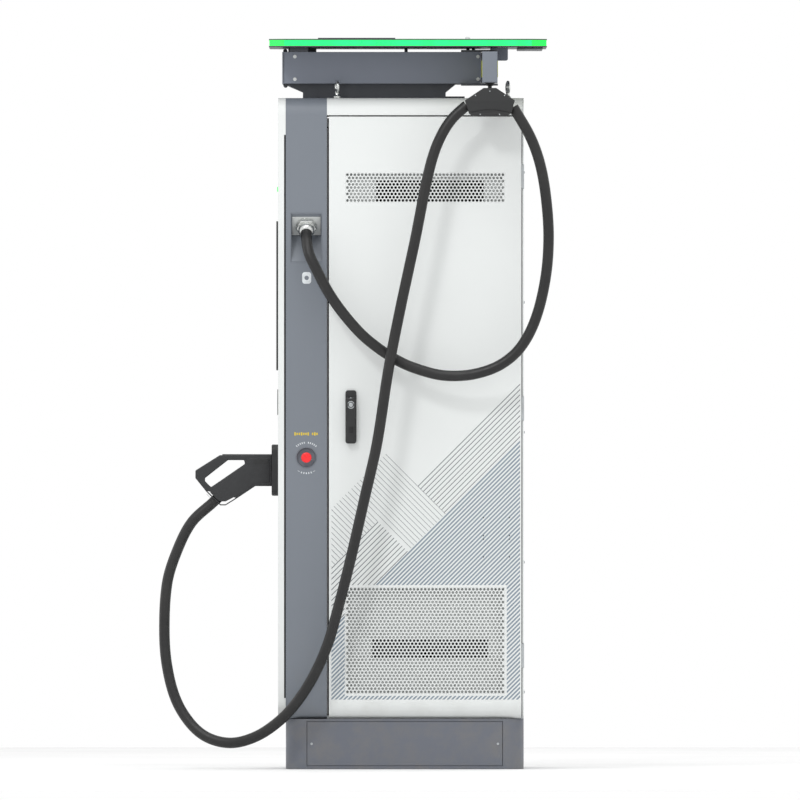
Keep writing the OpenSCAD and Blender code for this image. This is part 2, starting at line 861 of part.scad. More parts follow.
// Two lugs and a pin that carry the swing arm beside the header
module arm_bracket() {
    color("#6b717c") {
        for (z = [header_z0 - lug_t, header_z1]) {
            block([header_x1 - 60, arm_y - 40, z], [arm_x, arm_y + 40, z + lug_t]);
            translate([arm_x, arm_y, z]) cylinder(d = 50, h = lug_t);
        }
        translate([arm_x, arm_y, header_z0 - lug_t]) cylinder(d = arm_pin_d,
                                                             h = header_h + 2*lug_t);
    }
}

hanger_hole_d = 16;

module arm_tube() {
    z0 = header_z0 + 1;
    height = header_h - 2;
    wall = 3;
    color("#7b818a") {
        tube_z([arm_x, arm_y, z0], arm_hub_d, arm_pin_d + 2*run, height);
        difference() {
            block([arm_x - arm_w/2, arm_tip_y, z0], [arm_x + arm_w/2, arm_y, z0 + height]);
            block([arm_x - arm_w/2 + wall, arm_tip_y + wall, z0 + wall],
                  [arm_x + arm_w/2 - wall, arm_y - arm_hub_d/2, z0 + height - wall]);
            translate([arm_x, arm_y, z0 - cut]) cylinder(d = arm_hub_d - 4, h = height + 2*cut);
            translate([arm_x, clamp_y, z0 - cut]) cylinder(d = hanger_hole_d, h = wall + 2*cut);
        }
    }
}

clamp_z1 = cab_z1 + 29;

// The pin and bush that hang the cable clamp from the arm
module arm_hanger() {
    color(black) translate([arm_x, clamp_y, 0]) {
        translate([0, 0, clamp_z1]) cylinder(d = 12, h = header_z0 - clamp_z1 + 20);
        translate([0, 0, header_z0 - 9]) cylinder(d1 = 20, d2 = 32, h = 10);
        translate([0, 0, header_z0 + 4]) cylinder(d = 24, h = 8);
    }
}

// ---- Cable clamp ----

clamp_w = 60;
loop_end = [325, clamp_y, 1985];
loop_in = [0.495, 0, -0.869];
drop_end = [186, clamp_y, 1990];
drop_in = [-0.756, 0, -0.655];

// Turns +Z towards a direction in the XZ plane
module along_xz(d) { rotate([0, atan2(d[0], d[2]), 0]) children(); }

module clamp_shell() {
    color(black) difference() {
        translate([arm_x, clamp_y + clamp_w/2, clamp_z1]) rotate([90, 0, 0])
            linear_extrude(clamp_w) polygon([
                [-19, -seat], [19, -seat], [75, -38], [71, -48], [65, -74], [51, -82], [-50, -82],
                [-63, -71], [-73, -35]]);
        translate(loop_end) along_xz(loop_in) translate([0, 0, -seat])
            cylinder(d = cable_bore_d, h = pocket_l);
        translate(drop_end) along_xz(drop_in) translate([0, 0, -seat])
            cylinder(d = cable_bore_d, h = pocket_l);
    }
}

// ---- Canopy ----

canopy_corner = 45;
led_w = 14;

// The canopy's outline with cut corners, drawn in by an inset
module canopy_plan(inset) {
    l = canopy_l/2 - inset;
    w = canopy_d/2 - inset;
    c = canopy_corner - inset*0.4;
    translate([canopy_mid_x, 0]) polygon([
        [-l + c, -w], [l - c, -w], [l, -w + c], [l, w - c],
        [l - c, w], [-l + c, w], [-l, w - c], [-l, -w + c]]);
}

module canopy_tray() {
    lip = 1.5;
    color(dark_grey) {
        translate([0, 0, canopy_z0 + lip]) linear_extrude(canopy_h - 2*lip)
            canopy_plan(led_w + seat);
        for (z = [canopy_z0, canopy_z1 - lip])
            translate([0, 0, z]) linear_extrude(lip) canopy_plan(0);
        block([canopy_mid_x - 270, -canopy_d/2 + 90, canopy_z1],
              [canopy_mid_x - 38, canopy_d/2 - 90, canopy_z1 + 4]);
    }
}

module canopy_led() {
    lip = 1.5;
    color("#33ff8c") translate([0, 0, canopy_z0 + lip]) linear_extrude(canopy_h - 2*lip)
        difference() {
            canopy_plan(1);
            canopy_plan(led_w);
        }
}

module canopy_supports() {
    color(dark_grey) {
        block([-350, -150, header_z1], [-266, 150, canopy_z0]);
        for (x = [4, 190, 207], y = [-110, 110])
            translate([x, y, header_z1]) cylinder(d = 10, h = canopy_gap);
    }
}

// ---- Connector ----

gun_y = holster_y;
gun_axis_z = holster_mid_z;
gun_x = front_x - holster_t;
gun_w = 46;
gun_end = [-557, gun_y, 817];
gun_in = [-0.72, 0, -0.69];

module gun_shell() {
    color(black) translate([gun_x, gun_y + gun_w/2, gun_axis_z]) rotate([90, 0, 0])
        difference() {
            linear_extrude(gun_w) difference() {
                polygon([
                    [-seat, 48], [-158, 45], [-231, -1], [-231, -24], [-198, -65], [-181, -82],
                    [-163, -98], [-157, -106], [-140, -106], [-108, -86], [-51, -48], [-seat, -48]]);
                polygon([
                    [-133, 30], [-85, 30], [-82, 19], [-184, -51], [-202, -33], [-202, -24]]);
            }
            // The cable's pocket
            translate([gun_end[0] - gun_x, gun_end[2] - gun_axis_z, gun_w/2])
                rotate([0, 90, atan2(gun_in[2], gun_in[0])])
                translate([0, 0, -seat]) cylinder(d = cable_bore_d, h = pocket_l);
        }
}

module gun_nose() {
    nose_l = holster_t - 6;
    color("#2a2b2d") difference() {
        rod_x([gun_x - seat, gun_y, gun_axis_z], nose_d, nose_l);
        for (a = [0 : 51.4 : 330])
            rod_x([gun_x + nose_l - 8, gun_y + 17*cos(a), gun_axis_z + 17*sin(a)], 8, 20);
    }
}

// ---- Cable ----

function unit(v) = v/norm(v);
function tangent(p, i) =
    unit(p[min(i + 1, len(p) - 1)] - p[max(i - 1, 0)]);
function ring_points(p, i, d, sides, start, finish) =
    let (t = i == 0 ? start : i == len(p) - 1 ? finish : tangent(p, i),
         u = unit(cross(t, [0, 1, 0])),
         v = cross(t, u))
    [for (k = [0 : sides - 1]) p[i] + d/2*(cos(360*k/sides)*u + sin(360*k/sides)*v)];

// A round tube that follows a list of points; start and finish are its end directions
module sweep(p, d, start, finish, sides = 12) {
    n = len(p);
    points = [for (i = [0 : n - 1]) each ring_points(p, i, d, sides, start, finish)];
    walls = [for (i = [0 : n - 2], k = [0 : sides - 1])
        let (a = i*sides + k, b = i*sides + (k + 1) % sides) [a, a + sides, b + sides, b]];
    caps = [[for (k = [0 : sides - 1]) k], [for (k = [sides - 1 : -1 : 0]) (n - 1)*sides + k]];
    polyhedron(points, concat(walls, caps), convexity = 4);
}

low_point = [-518, -290, 78];
low_dir = unit([-70, 28, -3]);

// The service loop, from the gland to the clamp
loop_route = [
    [-295, -295, 1612], [-295, -313, 1598], [-293, -337, 1575], [-287, -353, 1546],
    [-272, -361, 1512], [-224, -369, 1422], [-164, -372, 1341], [-104, -373, 1281], [-14, -375, 1221],
    [76, -382, 1188], [136, -388, 1179], [211, -394, 1185], [286, -399, 1212],
    [346, -403, 1263], [391, -406, 1347], [421, -408, 1467], [431, -410, 1587],
    [424, -410, 1707], [406, -410, 1812], [376, -410, 1896], [325, -410, 1985]];

// The drop, from the clamp to the low point of the cable
drop_route = [
    [186, -410, 1990], [136, -410, 1942], [97, -410, 1872], [70, -411, 1782],
    [31, -414, 1587], [-14, -416, 1377], [-49, -416, 1197], [-83, -412, 978],
    [-118, -406, 823], [-163, -398, 627], [-203, -388, 471], [-233, -379, 369],
    [-275, -368, 276], [-326, -355, 198], [-378, -341, 143], [-445, -318, 98],
    low_point];

// The lead, from the low point up to the connector
lead_route = [
    low_point + seat*low_dir, [-588, -262, 92], [-641, -238, 133], [-687, -216, 207],
    [-714, -197, 309], [-722, -181, 417], [-714, -165, 555], [-687, -156, 646],
    [-641, -151, 738], [-575, -150, 800], gun_end];

module cable_loop() {
    color(black) sweep(loop_route, cable_d, [0, -0.797, -0.604], -loop_in);
}
module cable_drop() { color(black) sweep(drop_route, cable_d, drop_in, low_dir); }
module cable_lead() { color(black) sweep(lead_route, cable_d, low_dir, -gun_in); }

// ---- Inside ----

module power_modules() {
    count = 5;
    height = 170;
    z0 = cab_z0 + tray_t + 400;
    color(steel) for (i = [0 : count - 1]) difference() {
        block([-150, -post_y + post_w + 8, z0 + i*height], [290, post_y - post_w - 8,
              z0 + (i + 1)*height - 0.3]);
        for (x = [-120 : 24 : 260])
            block([x, -post_y, z0 + i*height + 30], [x + 12, -post_y + post_w + 16,
                  z0 + i*height + 140]);
    }
}

module electrics() {
    z0 = cab_z0 + tray_t;
    color("#8d9296") {
        for (x = [-150, 90]) block([x, -150, z0], [x + 200, 150, z0 + 200]);
        block([-150, 100, z0 + 200], [290, 140, z0 + 400 - 0.3]);
        block([-150, -140, z0 + 200], [290, -120, z0 + 400 - 0.3]);
    }
}

fan_w = 80;
fan_t = 25;
fan_xs = [door_mid - 40, door_mid + 66];
fan_z = vent_top_z + vent_top_h/2;
fan_y0 = pan_y + pan_t + seat;

module fan_frames() {
    color(black) for (x = fan_xs) difference() {
        union() {
            difference() {
                block([x - fan_w/2, fan_y0, fan_z - fan_w/2], [x + fan_w/2, fan_y0 + fan_t,
                      fan_z + fan_w/2]);
                rod_y([x, fan_y0 - cut, fan_z], fan_w - 4, fan_t + 2*cut);
            }
            // Spider that carries the rotor's bearing
            block([x - fan_w/2, fan_y0 + fan_t - 3, fan_z - 3], [x + fan_w/2, fan_y0 + fan_t,
                  fan_z + 3]);
            block([x - 3, fan_y0 + fan_t - 3, fan_z - fan_w/2], [x + 3, fan_y0 + fan_t,
                  fan_z + fan_w/2]);
            rod_y([x, fan_y0 + fan_t - 6, fan_z], 20, 6);
        }
        rod_y([x, fan_y0, fan_z], 4 + 2*run, fan_t + cut);
    }
}

module fan_rotor(x) {
    color("#3a3b3d") translate([x, fan_y0, fan_z]) rotate([-90, 0, 0]) {
        translate([0, 0, 2]) cylinder(d = 30, h = fan_t - 9);
        translate([0, 0, 4]) cylinder(d = 4, h = fan_t - 5);
        for (a = [0 : 60 : 300]) rotate(a) translate([12, 0, 10]) rotate([35, 0, 0])
            cube([23, 1.5, 10]);
    }
}
module fan_rotor_1() { fan_rotor(fan_xs[0]); }
module fan_rotor_2() { fan_rotor(fan_xs[1]); }

plinth_frame();
plinth_panels();
plinth_screws();
base_tray();
frame_posts();
top_tray();
belt_b();
belt_a();
belt_top();
roof_shell();
side_panel_a();
rear_cover();
front_cover();
front_gasket();
display_bezel();
display_glass();
rfid_window();
status_led();
holster();
holster_screws();
niche_housing();
gland_plate();
cable_gland();
estop_dish();
estop_body();
estop_stem();
estop_head();
door_b();
grille_upper_b();
grille_lower_b();
vent_plates_b();
grilles_a();
hinge_fixed();
hinge_door();
handle_base();
handle_lever();
handle_spindle();
latch_rod_upper();
latch_rod_lower();
lifting_eyes();
turret_base();
header_box();
header_bolts();
arm_bracket();
arm_tube();
arm_hanger();
clamp_shell();
canopy_tray();
canopy_led();
canopy_supports();
cable_loop();
cable_drop();
cable_lead();
gun_shell();
gun_nose();
power_modules();
electrics();
fan_frames();
fan_rotor_1();
fan_rotor_2();
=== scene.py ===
import json
import math

import bmesh
import bpy
from mathutils import Matrix, Vector
from mathutils.geometry import interpolate_bezier


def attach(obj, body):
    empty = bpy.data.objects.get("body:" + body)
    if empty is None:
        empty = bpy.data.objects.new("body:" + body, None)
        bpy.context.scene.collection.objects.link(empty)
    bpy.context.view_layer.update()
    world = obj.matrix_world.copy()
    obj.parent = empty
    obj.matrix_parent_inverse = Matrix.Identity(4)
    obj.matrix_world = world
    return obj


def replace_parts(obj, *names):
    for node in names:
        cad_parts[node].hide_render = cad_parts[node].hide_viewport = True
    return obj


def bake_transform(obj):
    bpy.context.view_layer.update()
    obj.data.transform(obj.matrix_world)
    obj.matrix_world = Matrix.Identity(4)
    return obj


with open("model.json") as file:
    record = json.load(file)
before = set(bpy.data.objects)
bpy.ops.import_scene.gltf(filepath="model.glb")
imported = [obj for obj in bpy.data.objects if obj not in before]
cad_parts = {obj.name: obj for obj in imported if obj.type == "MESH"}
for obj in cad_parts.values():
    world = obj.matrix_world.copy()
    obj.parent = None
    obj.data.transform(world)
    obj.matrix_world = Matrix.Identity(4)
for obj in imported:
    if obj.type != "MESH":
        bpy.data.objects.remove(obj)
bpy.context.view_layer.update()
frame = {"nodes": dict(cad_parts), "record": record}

MM = 0.001


# ---- Camera: a very long lens, so that the view is almost parallel ----

VIEW_CENTRE = Vector((-0.0143, -0.3, 1.1067))
VIEW_WIDTH = 2.4
LENS = 1500
SENSOR = 36


def linked(name, data):
    """A new object in the scene."""
    item = bpy.data.objects.new(name, data)
    bpy.context.collection.objects.link(item)
    return item


camera = linked("camera", bpy.data.cameras.new("camera"))
camera.data.lens = LENS
camera.data.sensor_width = SENSOR
distance = VIEW_WIDTH * LENS / SENSOR
camera.data.clip_start = 1
camera.data.clip_end = distance + 20
camera.location = VIEW_CENTRE + Vector((0, -distance, 0))
camera.rotation_euler = (math.radians(90), 0, 0)
bpy.context.scene.camera = camera


# ---- Node and material helpers ----

class Nodes:
    """A short way to write a material's node tree."""

    def __init__(self, name):
        self.material = bpy.data.materials.new(name)
        self.material.use_nodes = True
        self.tree = self.material.node_tree
        self.shader = self.tree.nodes["Principled BSDF"]
        self.coords = self.add("ShaderNodeTexCoord").outputs["Object"]

    def add(self, kind, **settings):
        node = self.tree.nodes.new(kind)
        for key, value in settings.items():
            setattr(node, key, value)
        return node

    def link(self, source, target):
        self.tree.links.new(source, target)

    def set(self, **values):
        for key, value in values.items():
            self.shader.inputs[key.replace("_", " ")].default_value = value

    def stretched(self, scale):
        node = self.add("ShaderNodeMapping")
        node.inputs["Scale"].default_value = scale
        self.link(self.coords, node.inputs["Vector"])
        return node.outputs["Vector"]

    def noise(self, scale, detail=3.0, rough=0.5, vector=None):
        node = self.add("ShaderNodeTexNoise")
        node.inputs["Scale"].default_value = scale
        node.inputs["Detail"].default_value = detail
        node.inputs["Roughness"].default_value = rough
        self.link(vector or self.coords, node.inputs["Vector"])
        return node.outputs["Fac"]

    def ramp(self, value, low, high, out_low=0.0, out_high=1.0):
        node = self.add("ShaderNodeMapRange")
        for key, number in (("From Min", low), ("From Max", high),
                            ("To Min", out_low), ("To Max", out_high)):
            node.inputs[key].default_value = number
        self.link(value, node.inputs["Value"])
        return node.outputs["Result"]

    def math(self, operation, a, b=None):
        node = self.add("ShaderNodeMath", operation=operation)
        for socket, value in zip(node.inputs, (a, b)):
            if value is None:
                continue
            if isinstance(value, (int, float)):
                socket.default_value = value
            else:
                self.link(value, socket)
        return node.outputs[0]

    def mix(self, factor, a, b):
        node = self.add("ShaderNodeMix", data_type="RGBA")
        for socket, value in ((node.inputs[0], factor), (node.inputs[6], a), (node.inputs[7], b)):
            if isinstance(value, (int, float)):
                socket.default_value = value
            elif isinstance(value, tuple):
                socket.default_value = (*value[:3], 1)
            else:
                self.link(value, socket)
        return node.outputs[2]

    def colour(self, value):
        self.link(value, self.shader.inputs["Base Color"])

    def roughness(self, value):
        self.link(value, self.shader.inputs["Roughness"])

    def bump(self, height, distance, strength=1.0, edge=0.0):
        node = self.add("ShaderNodeBump")
        node.inputs["Distance"].default_value = distance
        node.inputs["Strength"].default_value = strength
        self.link(height, node.inputs["Height"])
        if edge:
            bevel = self.add("ShaderNodeBevel", samples=4)
            bevel.inputs["Radius"].default_value = edge
            self.link(bevel.outputs[0], node.inputs["Normal"])
        self.link(node.outputs[0], self.shader.inputs["Normal"])

    def axis(self, name):
        node = self.add("ShaderNodeSeparateXYZ")
        self.link(self.coords, node.inputs[0])
        return node.outputs[name]


def srgb(text):
    """A linear colour from a hex string."""
    values = [int(text[k:k + 2], 16) / 255 for k in (1, 3, 5)]
    return tuple(v / 12.92 if v <= 0.04045 else ((v + 0.055) / 1.055) ** 2.4 for v in values)


def shade(colour, factor):
    return tuple(c * factor for c in colour)


def powder_coat(name, hex_colour, rough=0.42, floor_darkening=0.5):
    """Satin powder coat: fine orange peel, faint tone drift, darker brownish patches towards the
    floor.
    """
    m = Nodes(name)
    base = srgb(hex_colour)
    drift = m.ramp(m.noise(2.2, 4), 0.35, 0.65)
    tone = m.mix(drift, shade(base, 0.965), shade(base, 1.0))
    # Below 0.45 m the colour turns darker and browner in noisy patches, most at the floor
    low_down = m.ramp(m.axis("Z"), 0.45, 0.0)
    floor_patches = m.math("MULTIPLY", low_down, m.ramp(m.noise(16, 6, 0.65), 0.42, 0.7))
    floor_toned = m.mix(m.math("MULTIPLY", floor_patches, 0.35 * floor_darkening), tone, shade(srgb("#8f8879"), 0.8))
    specks = m.ramp(m.noise(900, 2), 0.70, 0.78)
    m.colour(m.mix(m.math("MULTIPLY", specks, 0.10), floor_toned, shade(base, 0.55)))
    m.roughness(m.ramp(m.noise(35, 5), 0.3, 0.7, rough - 0.06, rough + 0.07))
    m.set(Specular_IOR_Level=0.45)
    m.bump(m.noise(420, 3), 0.00012, 0.55, edge=0.0012)
    return m.material


def moulded(name, hex_colour, rough=0.5, grain=1500, depth=0.00012):
    """Moulded plastic with a fine spark-eroded grain and rubbed patches."""
    m = Nodes(name)
    base = srgb(hex_colour)
    rubbed = m.ramp(m.noise(9, 5, 0.6), 0.5, 0.72)
    m.colour(m.mix(m.math("MULTIPLY", rubbed, 0.35), base, shade(base, 1.6)))
    m.roughness(m.ramp(m.noise(60, 5), 0.3, 0.7, rough - 0.08, rough + 0.08))
    m.bump(m.noise(grain, 2), depth, 0.6, edge=0.0008)
    return m.material


def metal(name, hex_colour, rough=0.32, brushed=(60, 60, 900)):
    """Plated steel with fine directional lines and small stains."""
    m = Nodes(name)
    base = srgb(hex_colour)
    lines = m.noise(1.0, 4, 0.6, m.stretched(brushed))
    stain = m.ramp(m.noise(45, 5), 0.5, 0.75)
    m.colour(m.mix(m.math("MULTIPLY", stain, 0.30), base, shade(base, 0.62)))
    m.set(Metallic=1.0)
    m.roughness(m.ramp(lines, 0.3, 0.7, rough - 0.08, rough + 0.1))
    m.bump(lines, 0.00005, 0.5, edge=0.0006)
    return m.material


def cable_rubber():
    """Black jacket: satin, with scuffs along its length and faint dust."""
    m = Nodes("cable_rubber")
    scuff = m.ramp(m.noise(26, 6, 0.7), 0.55, 0.75)
    dust = m.ramp(m.noise(7, 3), 0.4, 0.8)
    base = srgb("#0c0c0d")
    worn = m.mix(m.math("MULTIPLY", scuff, 0.35), base, srgb("#2e2f2f"))
    m.colour(m.mix(m.math("MULTIPLY", dust, 0.15), worn, srgb("#474541")))
    m.roughness(m.ramp(m.noise(110, 4), 0.3, 0.7, 0.36, 0.52))
    m.bump(m.noise(700, 3), 0.0001, 0.5)
    return m.material


def lit(name, hex_colour, strength, end_colour=None, ends=(0, 1)):
    """A lit diffuser: brighter in bands where the lamps sit behind it. Past both of its ends
    along X it may have another colour."""
    m = Nodes(name)
    colour = srgb(hex_colour)
    bands = m.ramp(m.noise(1.0, 0, 0.5, m.stretched((26, 26, 1))), 0.35, 0.65)
    glow = m.mix(bands, shade(colour, 0.86), colour)
    if end_colour:
        past = m.math("GREATER_THAN", m.math("ABSOLUTE", m.math("SUBTRACT", m.axis("X"), ends[0])),
                      ends[1])
        glow = m.mix(past, glow, srgb(end_colour))
    m.colour(glow)
    m.link(glow, m.shader.inputs["Emission Color"])
    m.set(Emission_Strength=strength)
    m.roughness(m.ramp(m.noise(80, 2), 0.3, 0.7, 0.25, 0.35))
    return m.material


def dark_glass():
    """A dark display glass with faint smears."""
    m = Nodes("dark_glass")
    smear = m.ramp(m.noise(6, 5, 0.7), 0.5, 0.8)
    m.colour(m.mix(m.math("MULTIPLY", smear, 0.3), srgb("#0c1013"), srgb("#1c2226")))
    m.roughness(m.ramp(smear, 0, 1, 0.05, 0.16))
    m.set(Coat_Weight=1.0, Coat_Roughness=0.03)
    return m.material


def reflector(name, hex_colour):
    """A reflective strip with a honeycomb of small cells."""
    m = Nodes(name)
    cells = m.add("ShaderNodeTexVoronoi", feature="DISTANCE_TO_EDGE")
    cells.inputs["Scale"].default_value = 320
    cells.inputs["Randomness"].default_value = 0
    m.link(m.coords, cells.inputs["Vector"])
    edge = m.ramp(cells.outputs["Distance"], 0.0, 0.12)
    base = srgb(hex_colour)
    m.colour(m.mix(edge, shade(base, 0.6), base))
    m.roughness(m.ramp(edge, 0, 1, 0.5, 0.22))
    return m.material


MATERIALS = {
    "white_paint": powder_coat("white_paint", "#dcdfde", 0.40),
    "grey_paint": powder_coat("grey_paint", "#737981", 0.44),
    "plinth_paint": powder_coat("plinth_paint", "#656972", 0.5, floor_darkening=1.0),
    "dark_paint": powder_coat("dark_paint", "#3f4248", 0.46),
    "header_paint": powder_coat("header_paint", "#7a808c", 0.42),
    # The arm's grey is the header grey made darker and a little less blue: partly its own tone,
    # partly painted shade from the canopy above it
    "arm_paint": powder_coat("arm_paint", "#70767f", 0.42),
    "print_paint": powder_coat("print_paint", "#808d99", 0.5),
    "fine_print": powder_coat("fine_print", "#50565c", 0.5),
    # This grey colours the faint hatching and also the painted highlight line on the connector
    "faint_print_and_painted_highlight": powder_coat("faint_print_and_painted_highlight", "#666c70", 0.5),
    "inner_plate": powder_coat("inner_plate", "#c9cccb", 0.5),
    "black_plastic": moulded("black_plastic", "#1e1f20", 0.48),
    "gun_plastic": moulded("gun_plastic", "#242527", 0.52, grain=1100),
    "gasket": moulded("gasket", "#131415", 0.7),
    "red": moulded("red", "#f02226", 0.3, grain=2500, depth=0.00003),
    "pale_print": moulded("pale_print", "#d5dadd", 0.5, grain=2500, depth=0.00003),
    "yellow_print": moulded("yellow_print", "#d9bd2a", 0.5, grain=2500, depth=0.00003),
    "electrics": moulded("electrics", "#8d9296", 0.5),
    "zinc": metal("zinc", "#b4b8ba", 0.34),
    "nickel": metal("nickel", "#d2d4d2", 0.26),
    "module": metal("module", "#a9adaf", 0.4),
    "rubber": cable_rubber(),
    "led": lit("led", "#12e86e", 0.8, end_colour="#05e648", ends=(0.0095, 0.371)),
    "screen": lit("screen", "#2d6f8c", 0.5),
    "glass": dark_glass(),
    "yellow_reflector": reflector("yellow_reflector", "#cfd23a"),
}
MATERIALS["canopy_shell"] = MATERIALS["dark_paint"]
MATERIALS["turret_shell"] = MATERIALS["dark_paint"]
SLOT_OF = {part["node"]: part["material_slot"] for part in frame["record"]["subparts"]}


# Nodes that look different from the rest of their slot
# arm_tube takes arm_paint, whose darker grey is partly painted canopy shade
NODE_LOOK = {"arm_bracket": "dark_paint", "header_bolts": "white_paint", "arm_tube": "arm_paint"}


def dress_frame():
    """Every CAD node gets the procedural material of its own slot, or of its own look."""
    for name, node in frame["nodes"].items():
        node.data.materials.clear()
        node.data.materials.append(MATERIALS[NODE_LOOK.get(name, SLOT_OF[name])])


dress_frame()


# ---- Geometry helpers ----

def smoothed(mesh, angle):
    """Shades a mesh smooth, apart from edges sharper than an angle."""
    for polygon in mesh.polygons:
        polygon.use_smooth = True
    mesh.set_sharp_from_angle(angle=math.radians(angle))


def to_mesh(name, bm):
    mesh = bpy.data.meshes.new(name)
    bm.to_mesh(mesh)
    bm.free()
    return mesh


def make_object(name, mesh, slot, body="root", smooth=True, angle=35):
    """Links a mesh as a named piece with its material and its body."""
    piece = linked(name, mesh)
    mesh.materials.append(MATERIALS[slot])
    if smooth:
        smoothed(mesh, angle)
    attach(piece, body)
    return piece


def from_bmesh(name, bm, slot, body="root", **settings):
    bmesh.ops.recalc_face_normals(bm, faces=bm.faces)
    return make_object(name, to_mesh(name, bm), slot, body, **settings)


def add_box(bm, low, high):
    """A box between two corners, in millimetres."""
    size = Vector(high) - Vector(low)
    middle = (Vector(high) + Vector(low)) / 2
    matrix = Matrix.Translation(middle * MM) @ Matrix.Diagonal((*(size * MM), 1))
    bmesh.ops.create_cube(bm, size=1, matrix=matrix)


def boxes_piece(name, boxes, bevel, slot, body="root", segments=2, **settings):
    """One piece of boxes between pairs of corners, with rounded edges."""
    bm = bmesh.new()
    for low, high in boxes:
        add_box(bm, low, high)
    if bevel:
        bevel_all(bm, bevel, segments)
    return from_bmesh(name, bm, slot, body, **settings)


def aligned(direction):
    """A rotation that turns +Z towards a direction."""
    return Vector(direction).to_track_quat("Z", "Y").to_matrix().to_4x4()


def add_lathe(bm, profile, place, direction, sides=48, closed=False):
    """Turns a profile of (radius, height) pairs in millimetres about an axis.
    A closed profile is a ring, and an open one gets a flat cap at each end."""
    matrix = Matrix.Translation(Vector(place) * MM) @ aligned(direction)
    rings = []
    for radius, height in profile:
        ring = []
        for k in range(sides):
            turn = 2 * math.pi * k / sides
            point = Vector((radius * math.cos(turn), radius * math.sin(turn), height)) * MM
            ring.append(bm.verts.new(matrix @ point))
        rings.append(ring)
    pairs = list(zip(rings, rings[1:]))
    if closed:
        pairs.append((rings[-1], rings[0]))
    for a, b in pairs:
        for k in range(sides):
            n = (k + 1) % sides
            bm.faces.new((a[k], a[n], b[n], b[k]))
    if not closed:
        for ring in (rings[0], rings[-1]):
            bm.faces.new(ring)


def bevel_all(bm, width, segments=3, angle=30):
    """Rounds the edges that are sharper than an angle."""
    edges = [e for e in bm.edges if len(e.link_faces) == 2
             and e.calc_face_angle(0) > math.radians(angle)]
    bmesh.ops.bevel(bm, geom=edges, offset=width * MM, segments=segments, profile=0.5,
                    affect="EDGES", clamp_overlap=True)


def rounded_outline(points, radii, steps=6):
    """A closed outline of 2D points whose corners are rounded by their radii."""
    found = []
    count = len(points)
    for k, (point, radius) in enumerate(zip(points, radii)):
        p = Vector(point)
        before = (Vector(points[k - 1]) - p)
        after = (Vector(points[(k + 1) % count]) - p)
        if radius <= 0:
            found.append(p)
            continue
        half = before.angle(after) / 2
        reach = min(radius / math.tan(half), before.length * 0.49, after.length * 0.49)
        a = p + before.normalized() * reach
        b = p + after.normalized() * reach
        handle = reach * 0.45
        curve = interpolate_bezier(a.to_3d(), (a - before.normalized() * (reach - handle)).to_3d(),
                                   (b - after.normalized() * (reach - handle)).to_3d(),
                                   b.to_3d(), steps)
        found.extend(v.to_2d() for v in curve)
    return found


def slab_mesh(name, outlines, depth, bevel, steps=4):
    """A flat solid from 2D outlines, the first the outside and the others holes, with rounded rims.
    It lies in the XY plane, from -depth/2 to +depth/2, in millimetres."""
    curve = bpy.data.curves.new(name, "CURVE")
    curve.dimensions = "2D"
    curve.fill_mode = "BOTH"
    curve.extrude = (depth / 2 - bevel) * MM
    curve.bevel_depth = bevel * MM
    curve.bevel_resolution = steps
    curve.offset = -bevel * MM
    for outline in outlines:
        spline = curve.splines.new("POLY")
        spline.points.add(len(outline) - 1)
        for point, co in zip(spline.points, outline):
            point.co = (co[0] * MM, co[1] * MM, 0, 1)
        spline.use_cyclic_u = True
    holder = linked(name, curve)
    graph = bpy.context.evaluated_depsgraph_get()
    mesh = bpy.data.meshes.new_from_object(holder.evaluated_get(graph))
    bpy.data.objects.remove(holder)
    bm = bmesh.new()
    bm.from_mesh(mesh)
    bmesh.ops.remove_doubles(bm, verts=bm.verts, dist=0.00002)
    bmesh.ops.recalc_face_normals(bm, faces=bm.faces)
    bm.to_mesh(mesh)
    bm.free()
    return mesh


def upright(place, degrees):
    """Places an XY drawing with its Y up, and its top towards -Y turned by an angle about Z."""
    turn = Matrix.Rotation(math.radians(degrees), 4, "Z")
    return Matrix.Translation(Vector(place) * MM) @ turn @ Matrix.Rotation(math.radians(90), 4, "X")


def facing_door(*place):
    return upright(place, 0)


def facing_front(*place):
    return upright(place, -90)


def facing_rear(*place):
    return upright(place, 90)


def slab_piece(name, outlines, depth, bevel, place, slot, body="root", **settings):
    mesh = slab_mesh(name, outlines, depth, bevel)
    mesh.transform(place)
    return make_object(name, mesh, slot, body, **settings)


def rectangle(w, h, r=0.0, x=0.0, y=0.0):
    corners = [(x - w / 2, y - h / 2), (x + w / 2, y - h / 2), (x + w / 2, y + h / 2),
               (x - w / 2, y + h / 2)]
    return rounded_outline(corners, [r] * 4)


def circle(r, x=0.0, y=0.0, sides=40):
    return [(x + r * math.cos(2 * math.pi * k / sides), y + r * math.sin(2 * math.pi * k / sides))
            for k in range(sides)]


def add_plate(bm, outline, place, top, bottom):
    """A plate from an outline on a placed drawing plane, between two heights."""
    front, back = ([bm.verts.new(place @ (Vector((x, y, height)) * MM)) for x, y in outline]
                   for height in (top, bottom))
    bm.faces.new(front)
    bm.faces.new(back[::-1])
    for k in range(len(outline)):
        bm.faces.new((front[k - 1], front[k], back[k], back[k - 1]))


def arc_band(r, width, start, end, x=0.0, y=0.0, steps=12):
    """The outline of a band along an arc, with its angles in degrees."""
    turns = [math.radians(start + (end - start) * k / steps) for k in range(steps + 1)]
    outside, inside = ([(x + edge * math.cos(t), y + edge * math.sin(t)) for t in turns]
                       for edge in (r + width / 2, r - width / 2))
    return outside + inside[::-1]


def turned(outline, degrees, x=0.0, y=0.0):
    """An outline turned about the origin and then moved."""
    c, s = math.cos(math.radians(degrees)), math.sin(math.radians(degrees))
    return [(x + c * px - s * py, y + s * px + c * py) for px, py in outline]


# ---- Cables ----

CABLE_D = 32
